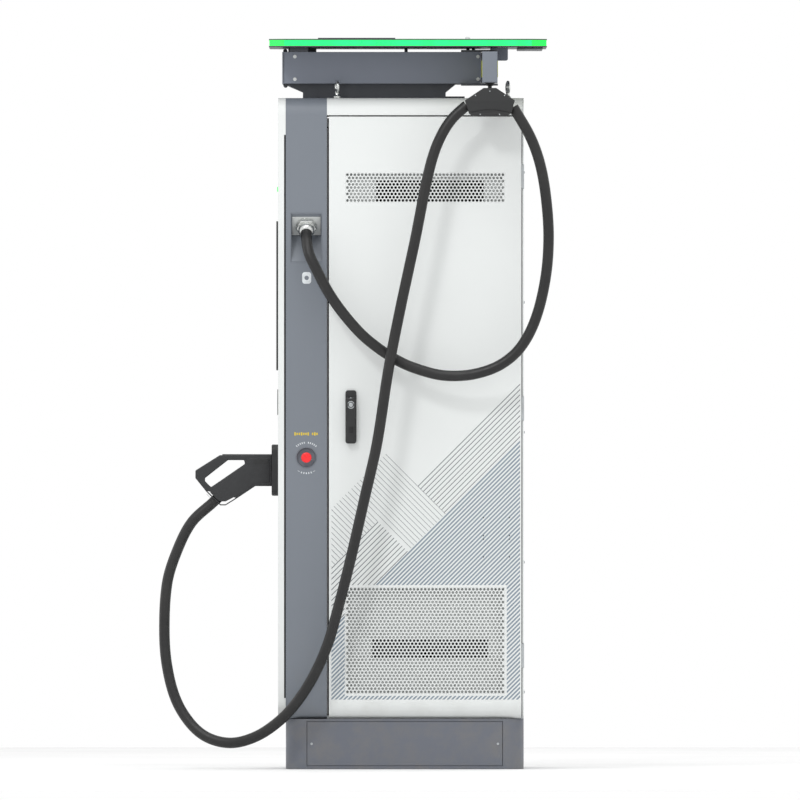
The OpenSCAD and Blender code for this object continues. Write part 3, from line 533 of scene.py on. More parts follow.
# The routes repeat those of the CAD tubes, in millimetres
LOOP_ROUTE = [
    (-295, -295, 1612), (-295, -313, 1598), (-293, -337, 1575), (-287, -353, 1546),
    (-272, -361, 1512), (-224, -369, 1422), (-164, -372, 1341), (-104, -373, 1281),
    (-14, -375, 1221), (76, -382, 1188), (136, -388, 1179), (211, -394, 1185),
    (286, -399, 1212), (346, -403, 1263), (391, -406, 1347), (421, -408, 1467),
    (431, -410, 1587), (424, -410, 1707), (406, -410, 1812), (376, -410, 1896),
    (325, -410, 1985)]
DROP_ROUTE = [
    (186, -410, 1990), (136, -410, 1942), (97, -410, 1872), (70, -411, 1782),
    (31, -414, 1587), (-14, -416, 1377), (-49, -416, 1197), (-83, -412, 978),
    (-118, -406, 823), (-163, -398, 627), (-203, -388, 471), (-233, -379, 369),
    (-275, -368, 276), (-326, -355, 198), (-378, -341, 143), (-445, -318, 98),
    (-518, -290, 78)]
LEAD_ROUTE = [
    (-518, -290, 78), (-588, -262, 92), (-641, -238, 133), (-687, -216, 207),
    (-714, -197, 309), (-722, -181, 417), (-714, -165, 555), (-687, -156, 646),
    (-641, -151, 738), (-575, -150, 800), (-557, -150, 817)]
LOW_DIRECTION = Vector((-70, 28, -3)).normalized()
GLAND_DIRECTION = Vector((0, -0.797, -0.604))
LOOP_END_DIRECTION = Vector((-0.495, 0, 0.869))
DROP_DIRECTION = Vector((-0.756, 0, -0.655))
GUN_DIRECTION = Vector((0.72, 0, 0.69))


def smooth_path(route, start, finish, step=9.0):
    """A centripetal curve through the route's points, at even steps, in metres."""
    points = [Vector(p) for p in route]
    slopes = []
    for k, point in enumerate(points):
        if k == 0:
            slopes.append(start.normalized())
        elif k == len(points) - 1:
            slopes.append(finish.normalized())
        else:
            slopes.append((points[k + 1] - points[k - 1]).normalized())
    fine = []
    for k in range(len(points) - 1):
        gap = (points[k + 1] - points[k]).length
        handle = gap / 3
        count = max(3, int(gap / 3))
        piece = interpolate_bezier(points[k], points[k] + slopes[k] * handle,
                                   points[k + 1] - slopes[k + 1] * handle, points[k + 1], count)
        fine.extend(piece if k == 0 else piece[1:])
    lengths = [0.0]
    for a, b in zip(fine, fine[1:]):
        lengths.append(lengths[-1] + (b - a).length)
    count = int(lengths[-1] / step)
    path = []
    at = 0
    for k in range(count + 1):
        wanted = lengths[-1] * k / count
        while at < len(fine) - 2 and lengths[at + 1] < wanted:
            at += 1
        share = (wanted - lengths[at]) / max(lengths[at + 1] - lengths[at], 1e-9)
        path.append(fine[at].lerp(fine[at + 1], share) * MM)
    return path, lengths[-1] * MM


def tube_mesh(name, path, radius, sides=28):
    """A round tube along a path, with closed ends."""
    bm = bmesh.new()
    rings = []
    for k, point in enumerate(path):
        ahead = path[min(k + 1, len(path) - 1)] - path[max(k - 1, 0)]
        across = ahead.cross(Vector((0, 1, 0))).normalized()
        up = ahead.cross(across).normalized()
        rings.append([bm.verts.new(point + radius * (across * math.cos(2 * math.pi * n / sides)
                                                     + up * math.sin(2 * math.pi * n / sides)))
                      for n in range(sides)])
    for a, b in zip(rings, rings[1:]):
        for n in range(sides):
            bm.faces.new((a[n], a[(n + 1) % sides], b[(n + 1) % sides], b[n]))
    bm.faces.new(rings[0])
    bm.faces.new(rings[-1])
    bmesh.ops.recalc_face_normals(bm, faces=bm.faces)
    return to_mesh(name, bm)


def make_cable(name, node, route, start, finish, bodies, blend_from, blend_to, **facts):
    path, length = smooth_path(route, start, finish)
    mesh = tube_mesh(name, path, CABLE_D / 2 * MM)
    piece = linked(name, mesh)
    mesh.materials.append(MATERIALS["rubber"])
    smoothed(mesh, 60)
    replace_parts(piece, node)
    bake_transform(piece)
    return piece


make_cable("service_loop", "cable_loop", LOOP_ROUTE, GLAND_DIRECTION, LOOP_END_DIRECTION,
           ("root", "arm"), LOOP_ROUTE[0], LOOP_ROUTE[-1])
make_cable("cable_drop_run", "cable_drop", DROP_ROUTE, DROP_DIRECTION, LOW_DIRECTION,
           ("root", "arm"), DROP_ROUTE[9], DROP_ROUTE[0])
make_cable("connector_lead", "cable_lead", LEAD_ROUTE, LOW_DIRECTION, GUN_DIRECTION,
           ("root", "gun"), LEAD_ROUTE[0], LEAD_ROUTE[-1])


# ---- Perforated sheets: real round holes, flush with the door and with the fixed side ----

DOOR_Y = -300
HOLE_D = 8.3
HOLE_PITCH = 11.1
ROW_STEP = HOLE_PITCH * math.sqrt(3) / 2
COLUMNS = 43
SHEET_T = 1.5
SHEET_INSET = 0.1
# Margin round each far side field, and depth behind its face, of the black sheets that paint the
# shade inside
SHADE_SHEET_EDGE = 6
SHADE_SHEET_Y = (5, 14)
FIELD_X = 61.25
FIELD_W = 477
# middle height, height and number of rows of each field
FIELDS = {"upper": (1744, 87, 9), "lower": (385, 318, 33)}


def perforated(field):
    """One perforated sheet of hexagonal cells, in the XZ plane with its front at y = 0."""
    mid_z, height, rows = FIELDS[field]
    bm = bmesh.new()
    corner_r = HOLE_PITCH / math.sqrt(3)
    half_w, half_h = FIELD_W / 2 - SHEET_INSET, height / 2 - SHEET_INSET
    edge = 0.3
    shared = {}

    def corner(across, level):
        """A cell's corner, shared with its neighbours: half pitches across, and height levels."""
        if (across, level) not in shared:
            x = across * HOLE_PITCH / 2
            z = (level // 2) * ROW_STEP + (level % 2) * corner_r / 2 - corner_r
            z -= (rows - 1) / 2 * ROW_STEP
            x = max(-half_w + edge, min(half_w - edge, x))
            z = max(-half_h + edge, min(half_h - edge, z))
            shared[across, level] = bm.verts.new(((FIELD_X + x) * MM, 0, (mid_z + z) * MM))
        return shared[across, level]

    for row in range(rows):
        count = COLUMNS - row % 2
        z = mid_z + (row - (rows - 1) / 2) * ROW_STEP
        for column in range(count):
            middle = 2 * column - (count - 1)
            x = FIELD_X + middle * HOLE_PITCH / 2
            hole = [bm.verts.new(((x + HOLE_D / 2 * math.cos(math.radians(30 * k))) * MM, 0,
                                  (z + HOLE_D / 2 * math.sin(math.radians(30 * k))) * MM))
                    for k in range(12)]
            cell = [corner(middle + across, 2 * row + level) for across, level in
                    ((1, 2), (0, 3), (-1, 2), (-1, 1), (0, 0), (1, 1))]
            for k in range(6):
                bm.faces.new((cell[k - 1], cell[k], hole[2 * k + 1], hole[2 * k], hole[2 * k - 1]))
    corners = set(shared.values())
    rim = [e for e in bm.edges if len(e.link_faces) == 1 and corners.issuperset(e.verts)]
    outer = [bm.verts.new(((FIELD_X + sx * half_w) * MM, 0, (mid_z + sz * half_h) * MM))
             for sx, sz in ((-1, -1), (1, -1), (1, 1), (-1, 1))]
    border = [bm.edges.new((outer[k - 1], outer[k])) for k in range(4)]
    bmesh.ops.triangle_fill(bm, use_beauty=True, use_dissolve=False, edges=rim + border)
    grown = bmesh.ops.extrude_face_region(bm, geom=list(bm.faces), use_keep_orig=True)
    back = [v for v in grown["geom"] if isinstance(v, bmesh.types.BMVert)]
    bmesh.ops.translate(bm, verts=back, vec=(0, SHEET_T * MM, 0))
    return bm


def make_perforated_sheets():
    for field, node in (("upper", "grille_upper_b"), ("lower", "grille_lower_b")):
        bm = perforated(field)
        bmesh.ops.translate(bm, verts=bm.verts, vec=(0, (DOOR_Y + SHEET_INSET) * MM, 0))
        sheet = from_bmesh(f"perforated_{field}", bm, "white_paint", "door", angle=30)
        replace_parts(sheet, node)
    far = bmesh.new()
    for field in FIELDS:
        bm = perforated(field)
        for vert in bm.verts:
            vert.co.y = -(vert.co.y + (DOOR_Y + SHEET_INSET) * MM)
        part = to_mesh("part", bm)
        far.from_mesh(part)
        bpy.data.meshes.remove(part)
    sheet = from_bmesh("perforated_far_side", far, "white_paint", "root", angle=30)
    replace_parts(sheet, "grilles_a")
    # Black sheets behind the far side's fields close the view through both sheets; their black is
    # painted shade for the cabinet's inside
    half = FIELD_W / 2 + SHADE_SHEET_EDGE
    shade_sheets = [((FIELD_X - half, -DOOR_Y - SHADE_SHEET_Y[1], mid_z - height / 2 - SHADE_SHEET_EDGE),
             (FIELD_X + half, -DOOR_Y - SHADE_SHEET_Y[0], mid_z + height / 2 + SHADE_SHEET_EDGE))
            for mid_z, height, _ in FIELDS.values()]
    boxes_piece("shade_sheets_far_side", shade_sheets, 2, "gasket", segments=3)


make_perforated_sheets()


# ---- Printed hatching on the door ----

# The print's face stands this far proud of the door, and its back lies this far in it
PRINT_T = 0.12
PRINT_SINK = 0.02
PRINT_X = (-220, 346)
PRINT_Z0 = 208
# The white border left round the lower field
BORDER_X = (-180, 306)
BORDER_Z = (219, 551.5)
# Rising lines lie on z - x = t, falling lines on z + x = t; each edge of a region is such a line
WIDE_EDGE = 636
BAND_EDGE = 808
LEFT_EDGE = 821
TOP_EDGE = 1001
RIDGE = 887
VALLEY = 661


def clipped(outline, walls):
    """The part of a convex outline where a*x + b*z <= c holds for each wall (a, b, c)."""
    for a, b, c in walls:
        kept = []
        for p, q in zip(outline, outline[1:] + outline[:1]):
            p_out = a * p[0] + b * p[1] - c
            q_out = a * q[0] + b * q[1] - c
            if p_out <= 0:
                kept.append(p)
            if p_out * q_out < 0:
                share = p_out / (p_out - q_out)
                kept.append((p[0] + share * (q[0] - p[0]), p[1] + share * (q[1] - p[1])))
        outline = kept
        if len(outline) < 3:
            return []
    return outline


def hatch(bm, rising, first, last, pitch, width, *regions):
    """Diagonal lines from first down to last, clipped to convex regions."""
    lean = 1 if rising else -1
    half = width / math.sqrt(2)
    ends = (PRINT_X[0] - 50, PRINT_X[1] + 50)
    for k in range(int((first - last) / pitch) + 1):
        t = first - k * pitch
        strip = [(ends[0], lean * ends[0] + t - half), (ends[1], lean * ends[1] + t - half),
                 (ends[1], lean * ends[1] + t + half), (ends[0], lean * ends[0] + t + half)]
        for region in regions:
            outline = clipped(strip, [*region, (-1, 0, -PRINT_X[0]), (1, 0, PRINT_X[1]),
                                      (0, -1, -PRINT_Z0)])
            if outline:
                add_plate(bm, outline, facing_door(0, DOOR_Y, 0), PRINT_T, -PRINT_SINK)


def under(t):
    """The wall that keeps what lies below the rising line z - x = t."""
    return (-1, 1, t)


def over(t):
    return (1, -1, -t)


def make_hatching():
    lowest = PRINT_Z0 - PRINT_X[1]
    wide = bmesh.new()
    hatch(wide, True, WIDE_EDGE, lowest, 12.945, 4.6,
          [(0, -1, -BORDER_Z[1])],
          [(0, 1, BORDER_Z[1]), (0, -1, -BORDER_Z[0]), (1, 0, BORDER_X[0])],
          [(0, 1, BORDER_Z[1]), (0, -1, -BORDER_Z[0]), (-1, 0, -BORDER_X[1])],
          [(0, 1, BORDER_Z[0])])
    from_bmesh("hatch_wide", wide, "print_paint", "door", smooth=False)
    fine = bmesh.new()
    hatch(fine, True, BAND_EDGE, WIDE_EDGE + 10, 15.7, 2.1, [(-1, -1, -RIDGE)])
    hatch(fine, True, LEFT_EDGE, WIDE_EDGE + 8, 16.0, 2.1,
          [(1, 1, VALLEY), (0, -1, -BORDER_Z[1])],
          [(0, 1, BORDER_Z[1]), (1, 0, BORDER_X[0])])
    from_bmesh("hatch_fine", fine, "fine_print", "door", smooth=False)
    faint = bmesh.new()
    hatch(faint, False, RIDGE, VALLEY + 17, 17.145, 1.35, [under(TOP_EDGE), over(WIDE_EDGE + 7)])
    hatch(faint, False, VALLEY, PRINT_Z0, 17.145, 1.35, [under(TOP_EDGE), over(LEFT_EDGE + 3)])
    from_bmesh("hatch_faint", faint, "faint_print_and_painted_highlight", "door", smooth=False)
    # Small dark rivets beside the hinge side
    dots = bmesh.new()
    for x in (236, 314):
        for z in (754, 700, 689, 636):
            add_lathe(dots, [(2.0, -0.5), (2.0, 0.2), (1.4, 0.5)], (x, DOOR_Y, z), (0, -1, 0), 16)
    from_bmesh("door_rivets", dots, "gasket", "door")


make_hatching()


# ---- Emergency stop and the markings on the belt ----

BELT_X = -295.25
STOP_Z = 934
MARK_T = 0.3


def belt_mark(name, outlines, slot):
    """Thin printed shapes on the belt, drawn about the middle of the emergency stop."""
    bm = bmesh.new()
    for outline in outlines:
        add_plate(bm, outline, facing_door(BELT_X, DOOR_Y, STOP_Z), MARK_T / 2, -0.05)
    from_bmesh(name, bm, slot, "root", smooth=False)


def make_stop():
    dish = bmesh.new()
    add_lathe(dish, [(31.7, -3), (31.7, 0.2), (31.0, 0.7), (29.8, 0.6), (28.9, -0.4), (28.3, -8),
                     (27.0, -10.8), (24.5, -11.9), (9.3, -12), (9.3, -14.8), (31.7, -14.8)],
              (BELT_X, DOOR_Y, STOP_Z), (0, -1, 0), 72, closed=True)
    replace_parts(from_bmesh("stop_dish", dish, "grey_paint", "root"), "estop_dish")
    head = bmesh.new()
    add_lathe(head, [(10.0, 4), (14.6, 4.6), (15.4, 6.2), (15.5, 10.6), (15.0, 12.6), (13.4, 14.2),
                     (10.0, 14.9), (4.0, 15.0), (0.6, 15.0)],
              (BELT_X, DOOR_Y, STOP_Z), (0, -1, 0), 64)
    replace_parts(from_bmesh("stop_head", head, "red", "stop_head", angle=50), "estop_head")
    # Plain strokes stand where the real belt is lettered
    strokes = [rectangle(4.2, 7 + 3 * ((k * 5) % 3 == 0), 0.8, x=-34 + 6.6 * k, y=71)
               for k in range(11) if k != 7]
    belt_mark("stop_caption_strokes", strokes, "yellow_print")
    upper = [turned(rectangle(2.6, 5.5, 0.5, y=45), a) for a in range(-40, 41, 8) if a != 0]
    lower = [turned(rectangle(2.8, 5.5, 0.5, y=-47), a) for a in range(-18, 19, 9)]
    dashes = [arc_band(47, 1.2, a, a + 9) for a in (236, 295)]
    belt_mark("stop_ring_strokes", upper + lower + dashes, "pale_print")


def make_outlet_mark():
    """A plain pill with a round window marks the outlet."""
    slab_piece("outlet_mark", [rectangle(27, 35, 8), circle(6.5)], MARK_T, 0.05,
               facing_door(BELT_X + 1, DOOR_Y - 0.1, 1473), "pale_print")


make_stop()
make_outlet_mark()


# ---- Cable gland on the sloping plate ----

GLAND_PLACE = Vector((BELT_X, -271, 1629.7))
PLATE_TOP = 2.2
HEX_R = 56 / math.sqrt(3)
HEX_T = 14


def make_gland():
    turn = Matrix.Translation(GLAND_PLACE * MM) @ aligned(GLAND_DIRECTION)
    place = turn @ Matrix.Translation((0, 0, (PLATE_TOP - 1) * MM))
    plate = slab_piece("gland_mounting_plate", [rectangle(86, 68, 2), circle(21.3)], 2, 0.4, place,
                       "inner_plate", "root")
    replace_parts(plate, "gland_plate")
    base = GLAND_PLACE + GLAND_DIRECTION * PLATE_TOP
    bm = bmesh.new()
    add_lathe(bm, [(20.8, 0), (30.6, 0), (31.2, 0.6), (31.2, 1.6), (20.8, 1.6)], base,
              GLAND_DIRECTION, 64, closed=True)
    add_lathe(bm, [(17.2, 1.6), (HEX_R - 1.2, 1.6), (HEX_R, 2.6), (HEX_R, HEX_T - 2.2),
                   (HEX_R - 3.2, HEX_T), (17.2, HEX_T)], base, GLAND_DIRECTION, 6, closed=True)
    add_lathe(bm, [(17.2, HEX_T - 1), (23.4, HEX_T - 1), (24.0, HEX_T + 1), (24.0, HEX_T + 11),
                   (23.2, HEX_T + 15), (21.2, HEX_T + 18.6), (18.6, HEX_T + 21),
                   (17.2, HEX_T + 21.8)], base, GLAND_DIRECTION, 72, closed=True)
    add_lathe(bm, [(16.6, -18), (20.8, -18), (20.8, 0.5), (16.6, 0.5)], base, GLAND_DIRECTION, 48,
              closed=True)
    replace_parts(from_bmesh("gland_nut", bm, "nickel", "root", angle=28), "cable_gland")
    seal = bmesh.new()
    add_lathe(seal, [(16.1, HEX_T + 16), (17.1, HEX_T + 16), (17.1, HEX_T + 22.2),
                     (16.6, HEX_T + 23.2), (16.1, HEX_T + 23)], base, GLAND_DIRECTION, 48,
              closed=True)
    from_bmesh("gland_seal", seal, "gasket", "root")


make_gland()


# ---- Swing handle ----

HANDLE_X = -161.5
SPINDLE_Z = 1108
BASE_Z = (976, 1136)
LEVER_Y = (-324.8, -308.8)
LEVER_Z0 = 979.2
LEVER_HALF_W = 13.4
LOCK_Z = 1092


def carved(solid, tool):
    """What is left of a solid when a tool's volume is cut from it; all three are a bmesh."""
    pair = []
    for name, bm in (("solid", solid), ("tool", tool)):
        bmesh.ops.recalc_face_normals(bm, faces=bm.faces)
        pair.append(linked(name, to_mesh(name, bm)))
    cut = pair[0].modifiers.new("cut", "BOOLEAN")
    cut.operation = "DIFFERENCE"
    cut.solver = "EXACT"
    cut.object = pair[1]
    graph = bpy.context.evaluated_depsgraph_get()
    result = bmesh.new()
    result.from_mesh(pair[0].evaluated_get(graph).to_mesh())
    for item in pair:
        bpy.data.meshes.remove(item.data)
    return result


def make_handle():
    middle = sum(BASE_Z) / 2
    base = slab_piece("handle_plate", [rectangle(33, BASE_Z[1] - BASE_Z[0], 8),
                                       circle(6.2, 0, SPINDLE_Z - middle)], 7.6, 1.6,
                      facing_door(HANDLE_X, DOOR_Y - 3.9, middle), "black_plastic", "door")
    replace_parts(base, "handle_base")
    # The lever is a rounded bar whose top end turns about the lifting pin
    lift_y = sum(LEVER_Y) / 2
    radius = (LEVER_Y[1] - LEVER_Y[0]) / 2 - 0.2
    top = SPINDLE_Z + radius
    arc = [math.pi * k / 16 for k in range(17)]
    side_view = [(lift_y - radius, LEVER_Z0), (lift_y + radius, LEVER_Z0)]
    side_view += [(lift_y + radius * math.cos(t), SPINDLE_Z + radius * math.sin(t)) for t in arc]
    solid = bmesh.new()
    add_plate(solid, side_view, facing_rear(HANDLE_X, 0, 0), -LEVER_HALF_W, LEVER_HALF_W)
    bmesh.ops.recalc_face_normals(solid, faces=solid.faces)
    bevel_all(solid, 3.2, 4)
    fork_slot = bmesh.new()
    add_box(fork_slot, (HANDLE_X - 6.6, LEVER_Y[0] + 1.5, SPINDLE_Z - 12.2),
            (HANDLE_X + 6.6, LEVER_Y[1] + 1, SPINDLE_Z + 12.2))
    bm = carved(solid, fork_slot)
    # A wide flat groove down the middle of the lever, as two raised cheeks
    for side in (-1, 1):
        add_box(bm, (HANDLE_X + side * 10.9 - 1.7, LEVER_Y[0] - 0.9, 1052),
                (HANDLE_X + side * 10.9 + 1.7, LEVER_Y[0] + 2, top - 9))
    lever = from_bmesh("lever_grip", bm, "black_plastic", "lever", angle=40)
    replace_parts(lever, "handle_lever")
    lock = bmesh.new()
    add_lathe(lock, [(11.6, -2), (11.6, 0.2), (10.9, 0.8), (9.2, 0.8), (8.8, 0.3), (8.8, -2)],
              (HANDLE_X, LEVER_Y[0] + 0.2, LOCK_Z), (0, -1, 0), 48, closed=True)
    add_lathe(lock, [(6.6, -2), (6.6, 0.5), (6.0, 0.9), (0.4, 0.9)],
              (HANDLE_X, LEVER_Y[0] + 0.2, LOCK_Z), (0, -1, 0), 40)
    from_bmesh("lever_lock", lock, "zinc", "lever")
    # A ribbed pad near the lever's free end
    ribs = [((HANDLE_X - 7, LEVER_Y[0] - 0.6, z), (HANDLE_X + 7, LEVER_Y[0] + 1, z + 2.4))
            for z in range(1008, 1028, 4)]
    boxes_piece("lever_thumb_pad", ribs, 0.35, "gasket", "lever")


make_handle()


# ---- Cable clamp ----

ARM_X = 255
CLAMP_Y = -410
CLAMP_TOP = 2042
CLAMP_W = 60
CLAMP_JOINT = 0.6
KEEPER_W = 65


def make_clamp():
    outline = [(-19, -0.3), (19, -0.3), (75.5, -38), (72, -46), (66, -74), (51, -82), (-50, -82),
               (-64, -73), (-72, -46), (-75.5, -38)]
    place = facing_door(ARM_X, CLAMP_Y, CLAMP_TOP)
    # Two half shells with a fine joint between them
    half = (CLAMP_W - CLAMP_JOINT) / 2
    bm = bmesh.new()
    for side in (-1, 1):
        mesh = slab_mesh("half", [rounded_outline(outline, [3] * 10)], half, 2)
        mesh.transform(place @ Matrix.Translation((0, 0, side * (half + CLAMP_JOINT) / 2 * MM)))
        bm.from_mesh(mesh)
        bpy.data.meshes.remove(mesh)
    clamp = from_bmesh("clamp_halves", bm, "black_plastic", "arm")
    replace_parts(clamp, "clamp_shell")
    face_y = CLAMP_Y - CLAMP_W / 2
    screws = bmesh.new()
    on_keeper = (KEEPER_W - CLAMP_W) / 2 - 0.1
    for x, z, lift in ((0, -10, 0), (-43, -23, 0), (44, -23, 0), (-29, -79.6, on_keeper),
                       (29, -79.6, on_keeper)):
        add_screw(screws, (ARM_X + x, face_y - lift, CLAMP_TOP + z), (0, -1, 0), 2)
    from_bmesh("clamp_screws", screws, "zinc", "arm", angle=30)
    # The keeper plate screwed under the shells
    keeper = [(-66, -74), (66, -74), (54, -83.6), (-54, -83.6)]
    slab_piece("clamp_keeper", [rounded_outline(keeper, [2, 2, 3, 3])], KEEPER_W, 1.4,
               place, "black_plastic", "arm")
    # The curved parting line of the lower keeper
    line = [Vector((ARM_X - 58 + 116 * k / 24, face_y - 0.05,
                    CLAMP_TOP - 73 + 8 * math.sin(math.pi * k / 24))) * MM for k in range(25)]
    parting = tube_mesh("clamp_parting_line", line, 1.6 * MM, 8)
    make_object("clamp_parting_line", parting, "gasket", "arm")


def add_screw(bm, place, direction, r):
    """A pan head of radius r with a hexagonal socket, seated on a face."""
    add_lathe(bm, [(r, -0.4), (r, 0.5 * r), (0.8 * r, 0.75 * r), (0.5 * r, 0.78 * r)], place,
              direction, 24)
    step = Vector(direction) * 0.78 * r
    add_lathe(bm, [(0.48 * r, 0), (0.48 * r, 0.06 * r), (0.40 * r, 0.06 * r), (0.40 * r, 0)],
              Vector(place) + step, direction, 6, closed=True)


make_clamp()


# ---- Connector ----

GUN_X = -398
GUN_Y = -150
GUN_Z = 896
GUN_W = 46


def make_connector():
    outer = [(-0.3, 48), (-158, 45), (-231, -1), (-231, -24), (-198, -65), (-181, -82), (-163, -98),
             (-157, -106), (-140, -106), (-108, -86), (-51, -48), (-0.3, -48)]
    window = [(-133, 30), (-85, 30), (-82, 19), (-184, -51), (-202, -33), (-202, -24)]
    place = facing_door(GUN_X, GUN_Y, GUN_Z)
    body = slab_piece("connector_shell",
                      [rounded_outline(outer, [1, 6, 4, 4, 3, 3, 3, 3, 5, 8, 8, 1]),
                       rounded_outline(window, [4, 3, 5, 4, 4, 4])],
                      GUN_W, 3.4, place, "gun_plastic", "gun")
    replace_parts(body, "gun_shell")
    # Raised cheeks on both sides, a label field and the seam between the two half shells
    cheek = [(-8, 36), (-70, 36), (-74, 14), (-178, -58), (-188, -66), (-176, -78), (-158, -94),
             (-140, -94), (-105, -76), (-48, -38), (-8, -38)]
    slab_piece("connector_cheeks", [rounded_outline(cheek, [4] * len(cheek))], GUN_W + 1.6, 1.2,
               place, "gun_plastic", "gun")
    slab_piece("connector_label_fields", [rectangle(46, 15, 3, x=-34, y=26)], GUN_W + 2.4, 0.6,
               place, "black_plastic", "gun")
    seam = ((GUN_X - 150, GUN_Y - 0.5, GUN_Z + 44.6), (GUN_X - 4, GUN_Y + 0.5, GUN_Z + 47.9))
    boxes_piece("connector_seam", [seam], 0.2, "gasket", "gun", segments=1)
    # A short slanting pale line where the grip's side face ends: a painted highlight along that
    # edge
    mark = bmesh.new()
    middle = GUN_X - 191
    add_box(mark, (middle - 8, GUN_Y - 25.4, GUN_Z - 79), (middle + 8, GUN_Y - 23.4, GUN_Z - 77.6))
    for vert in mark.verts:
        along = vert.co.x - middle * MM
        vert.co.x -= 0.25 * along
        vert.co.z -= 0.8 * along
    from_bmesh("connector_painted_highlight", mark, "faint_print_and_painted_highlight", "gun")


make_connector()


# ---- Holster, display and reader on the front ----

FRONT_X = -380
HOLSTER_T = 18.4
GLASS_Z = 1420
READER_Z = 1100
# How far the display's and the reader's faces stand off the front, and the tiles' sizes
GLASS_PROUD = 5.15
READER_PROUD = 3.15
TILE_T = 0.2
TILE_SINK = 0.1
TILE_R = 8
BUTTON_X = 59
BUTTON_Y = -135


def make_front():
    """The user's side: the holster's rim, plain tiles on the display and a plain reader sign."""
    slab_piece("holster_rim", [rectangle(126, 150, 18), circle(40)], 3, 1.2,
               facing_front(FRONT_X - HOLSTER_T, GUN_Y, GUN_Z), "black_plastic")
    glass = facing_front(FRONT_X - GLASS_PROUD, 0, GLASS_Z)
    on_tiles = facing_front(FRONT_X - GLASS_PROUD - TILE_T, 0, GLASS_Z)
    reader = facing_front(FRONT_X - READER_PROUD, 0, READER_Z)
    tiles = bmesh.new()
    # height of each tile's middle above the display's, width and height
    for y, w, h in ((175, 226, 30), (95, 226, 96), (-20, 226, 104)):
        add_plate(tiles, rectangle(w, h, TILE_R, y=y), glass, TILE_T, -TILE_SINK)
    for side in (-1, 1):
        add_plate(tiles, rectangle(108, 86, TILE_R, x=side * BUTTON_X, y=BUTTON_Y), glass, TILE_T,
                  -TILE_SINK)
    from_bmesh("display_tiles", tiles, "screen", "root", smooth=False)
    marks = bmesh.new()
    signs = [(on_tiles, rectangle(120, 10, 4, x=-40, y=110)),
             (on_tiles, rectangle(180, 8, 4, y=82)), (on_tiles, arc_band(34, 7, 90, 380, y=-20))]
    signs += [(on_tiles, rectangle(60, 9, 4, x=side * BUTTON_X, y=BUTTON_Y)) for side in (-1, 1)]
    signs += [(reader, arc_band(r, 3, -40, 40, x=-10)) for r in (12, 20, 28)]
    signs.append((reader, rectangle(10, 34, 3, x=-22)))
    for place, outline in signs:
        add_plate(marks, outline, place, TILE_T, -TILE_SINK)
    from_bmesh("front_signs", marks, "pale_print", "root", smooth=False)


make_front()


# ---- Header, arm, canopy and roof fittings ----

ROOF_Z = 2013
EYES = ((-203, 235), (-203, -235), (310, 110), (310, -110))
EYE_RISE = 34
EYE_R = 15
EYE_WIRE_R = 4.4
EYE_TURN = 12
HEADER_Z = (2057, 2152)
HEADER_X = (-368, 229)
ARM_Y = (-440, -180)
CANOPY_Z = (2165.5, 2189.5)
LIP_H = 3.4


def canopy_outline(inset):
    """The canopy's plan with cut corners, drawn in by an inset."""
    length, width, corner = 416.5 - inset, 370 - inset, 45 - 0.4 * inset
    quarter = ((1, -1), (1, 1), (-1, 1), (-1, -1))
    points = []
    for along, across in quarter:
        ends = [(length, width - corner), (length - corner, width)]
        if along * across < 0:
            ends.reverse()
        points += [(9.5 + along * x, across * y) for x, y in ends]
    return points


def make_top():
    strips = [((x - 0.7, ARM_Y[0] + 18, HEADER_Z[0] + 18),
               (x + 0.7, ARM_Y[1] - 40, HEADER_Z[0] + 67)) for x in (ARM_X - 23.6, ARM_X + 23.6)]
    boxes_piece("arm_reflectors", strips, 0.3, "yellow_reflector", "arm")
    slab_piece("arm_end_cap", [rectangle(43, 90, 2)], 2.4, 0.8,
               facing_door(ARM_X, ARM_Y[0], sum(HEADER_Z) / 2), "arm_paint", "arm")
    # The cable fixing behind the arm and the thin plate under the canopy
    bracket = rounded_outline([(-27, 19), (-27, -20), (26, -20), (26, 19)], [1, 1, 6, 1])
    slab_piece("canopy_side_bracket", [bracket], 5, 1, facing_door(284, -120, 2146.4),
               "header_paint")
    plates = (((338, -300, 2159.5), (414, 300, 2165.3)),
              ((-345, -240, 2152.3), (-290, -152, 2165.3)))
    boxes_piece("canopy_under_plates", plates, 1, "dark_paint")
    antenna = bmesh.new()
    add_lathe(antenna, [(11, 2189.5), (11, 2191.5), (8, 2192.2), (7.5, 2196), (6, 2198.6),
                        (3, 2199.8), (0.4, 2200)], (189, 0, 0), (0, 0, 1), 32)
    from_bmesh("canopy_antenna", antenna, "inner_plate", "root")
    # Knuckles and a cover strip at the header's free end
    knuckles = bmesh.new()
    for z in HEADER_Z:
        for y in (-150, 150):
            add_lathe(knuckles, [(5.5, -16), (6.5, -15), (6.5, 15), (5.5, 16)],
                      (HEADER_X[0] + 9, y, z + (3 if z == HEADER_Z[1] else -3)), (0, 1, 0), 28)
    from_bmesh("header_knuckles", knuckles, "dark_paint", "root")
    shield = ((HEADER_X[1] + 0.3, -142, HEADER_Z[0] + 1), (HEADER_X[1] + 12, -136, HEADER_Z[1] - 1))
    boxes_piece("header_end_shield", [shield], 0.6, "dark_paint")
    for level, low in (("lower", CANOPY_Z[0]), ("upper", CANOPY_Z[1] - LIP_H)):
        slab_piece("canopy_lip_" + level, [canopy_outline(-0.3), canopy_outline(3)], LIP_H, 0.4,
                   Matrix.Translation((0, 0, (low + LIP_H / 2) * MM)), "dark_paint")
    seams = [((HEADER_X[0] + 4, y - 0.5, HEADER_Z[0] + 3),
              (HEADER_X[0] + 5.4, y + 0.5, HEADER_Z[1] - 3)) for y in (-200, 200)]
    boxes_piece("header_seams", seams, 0, "gasket")


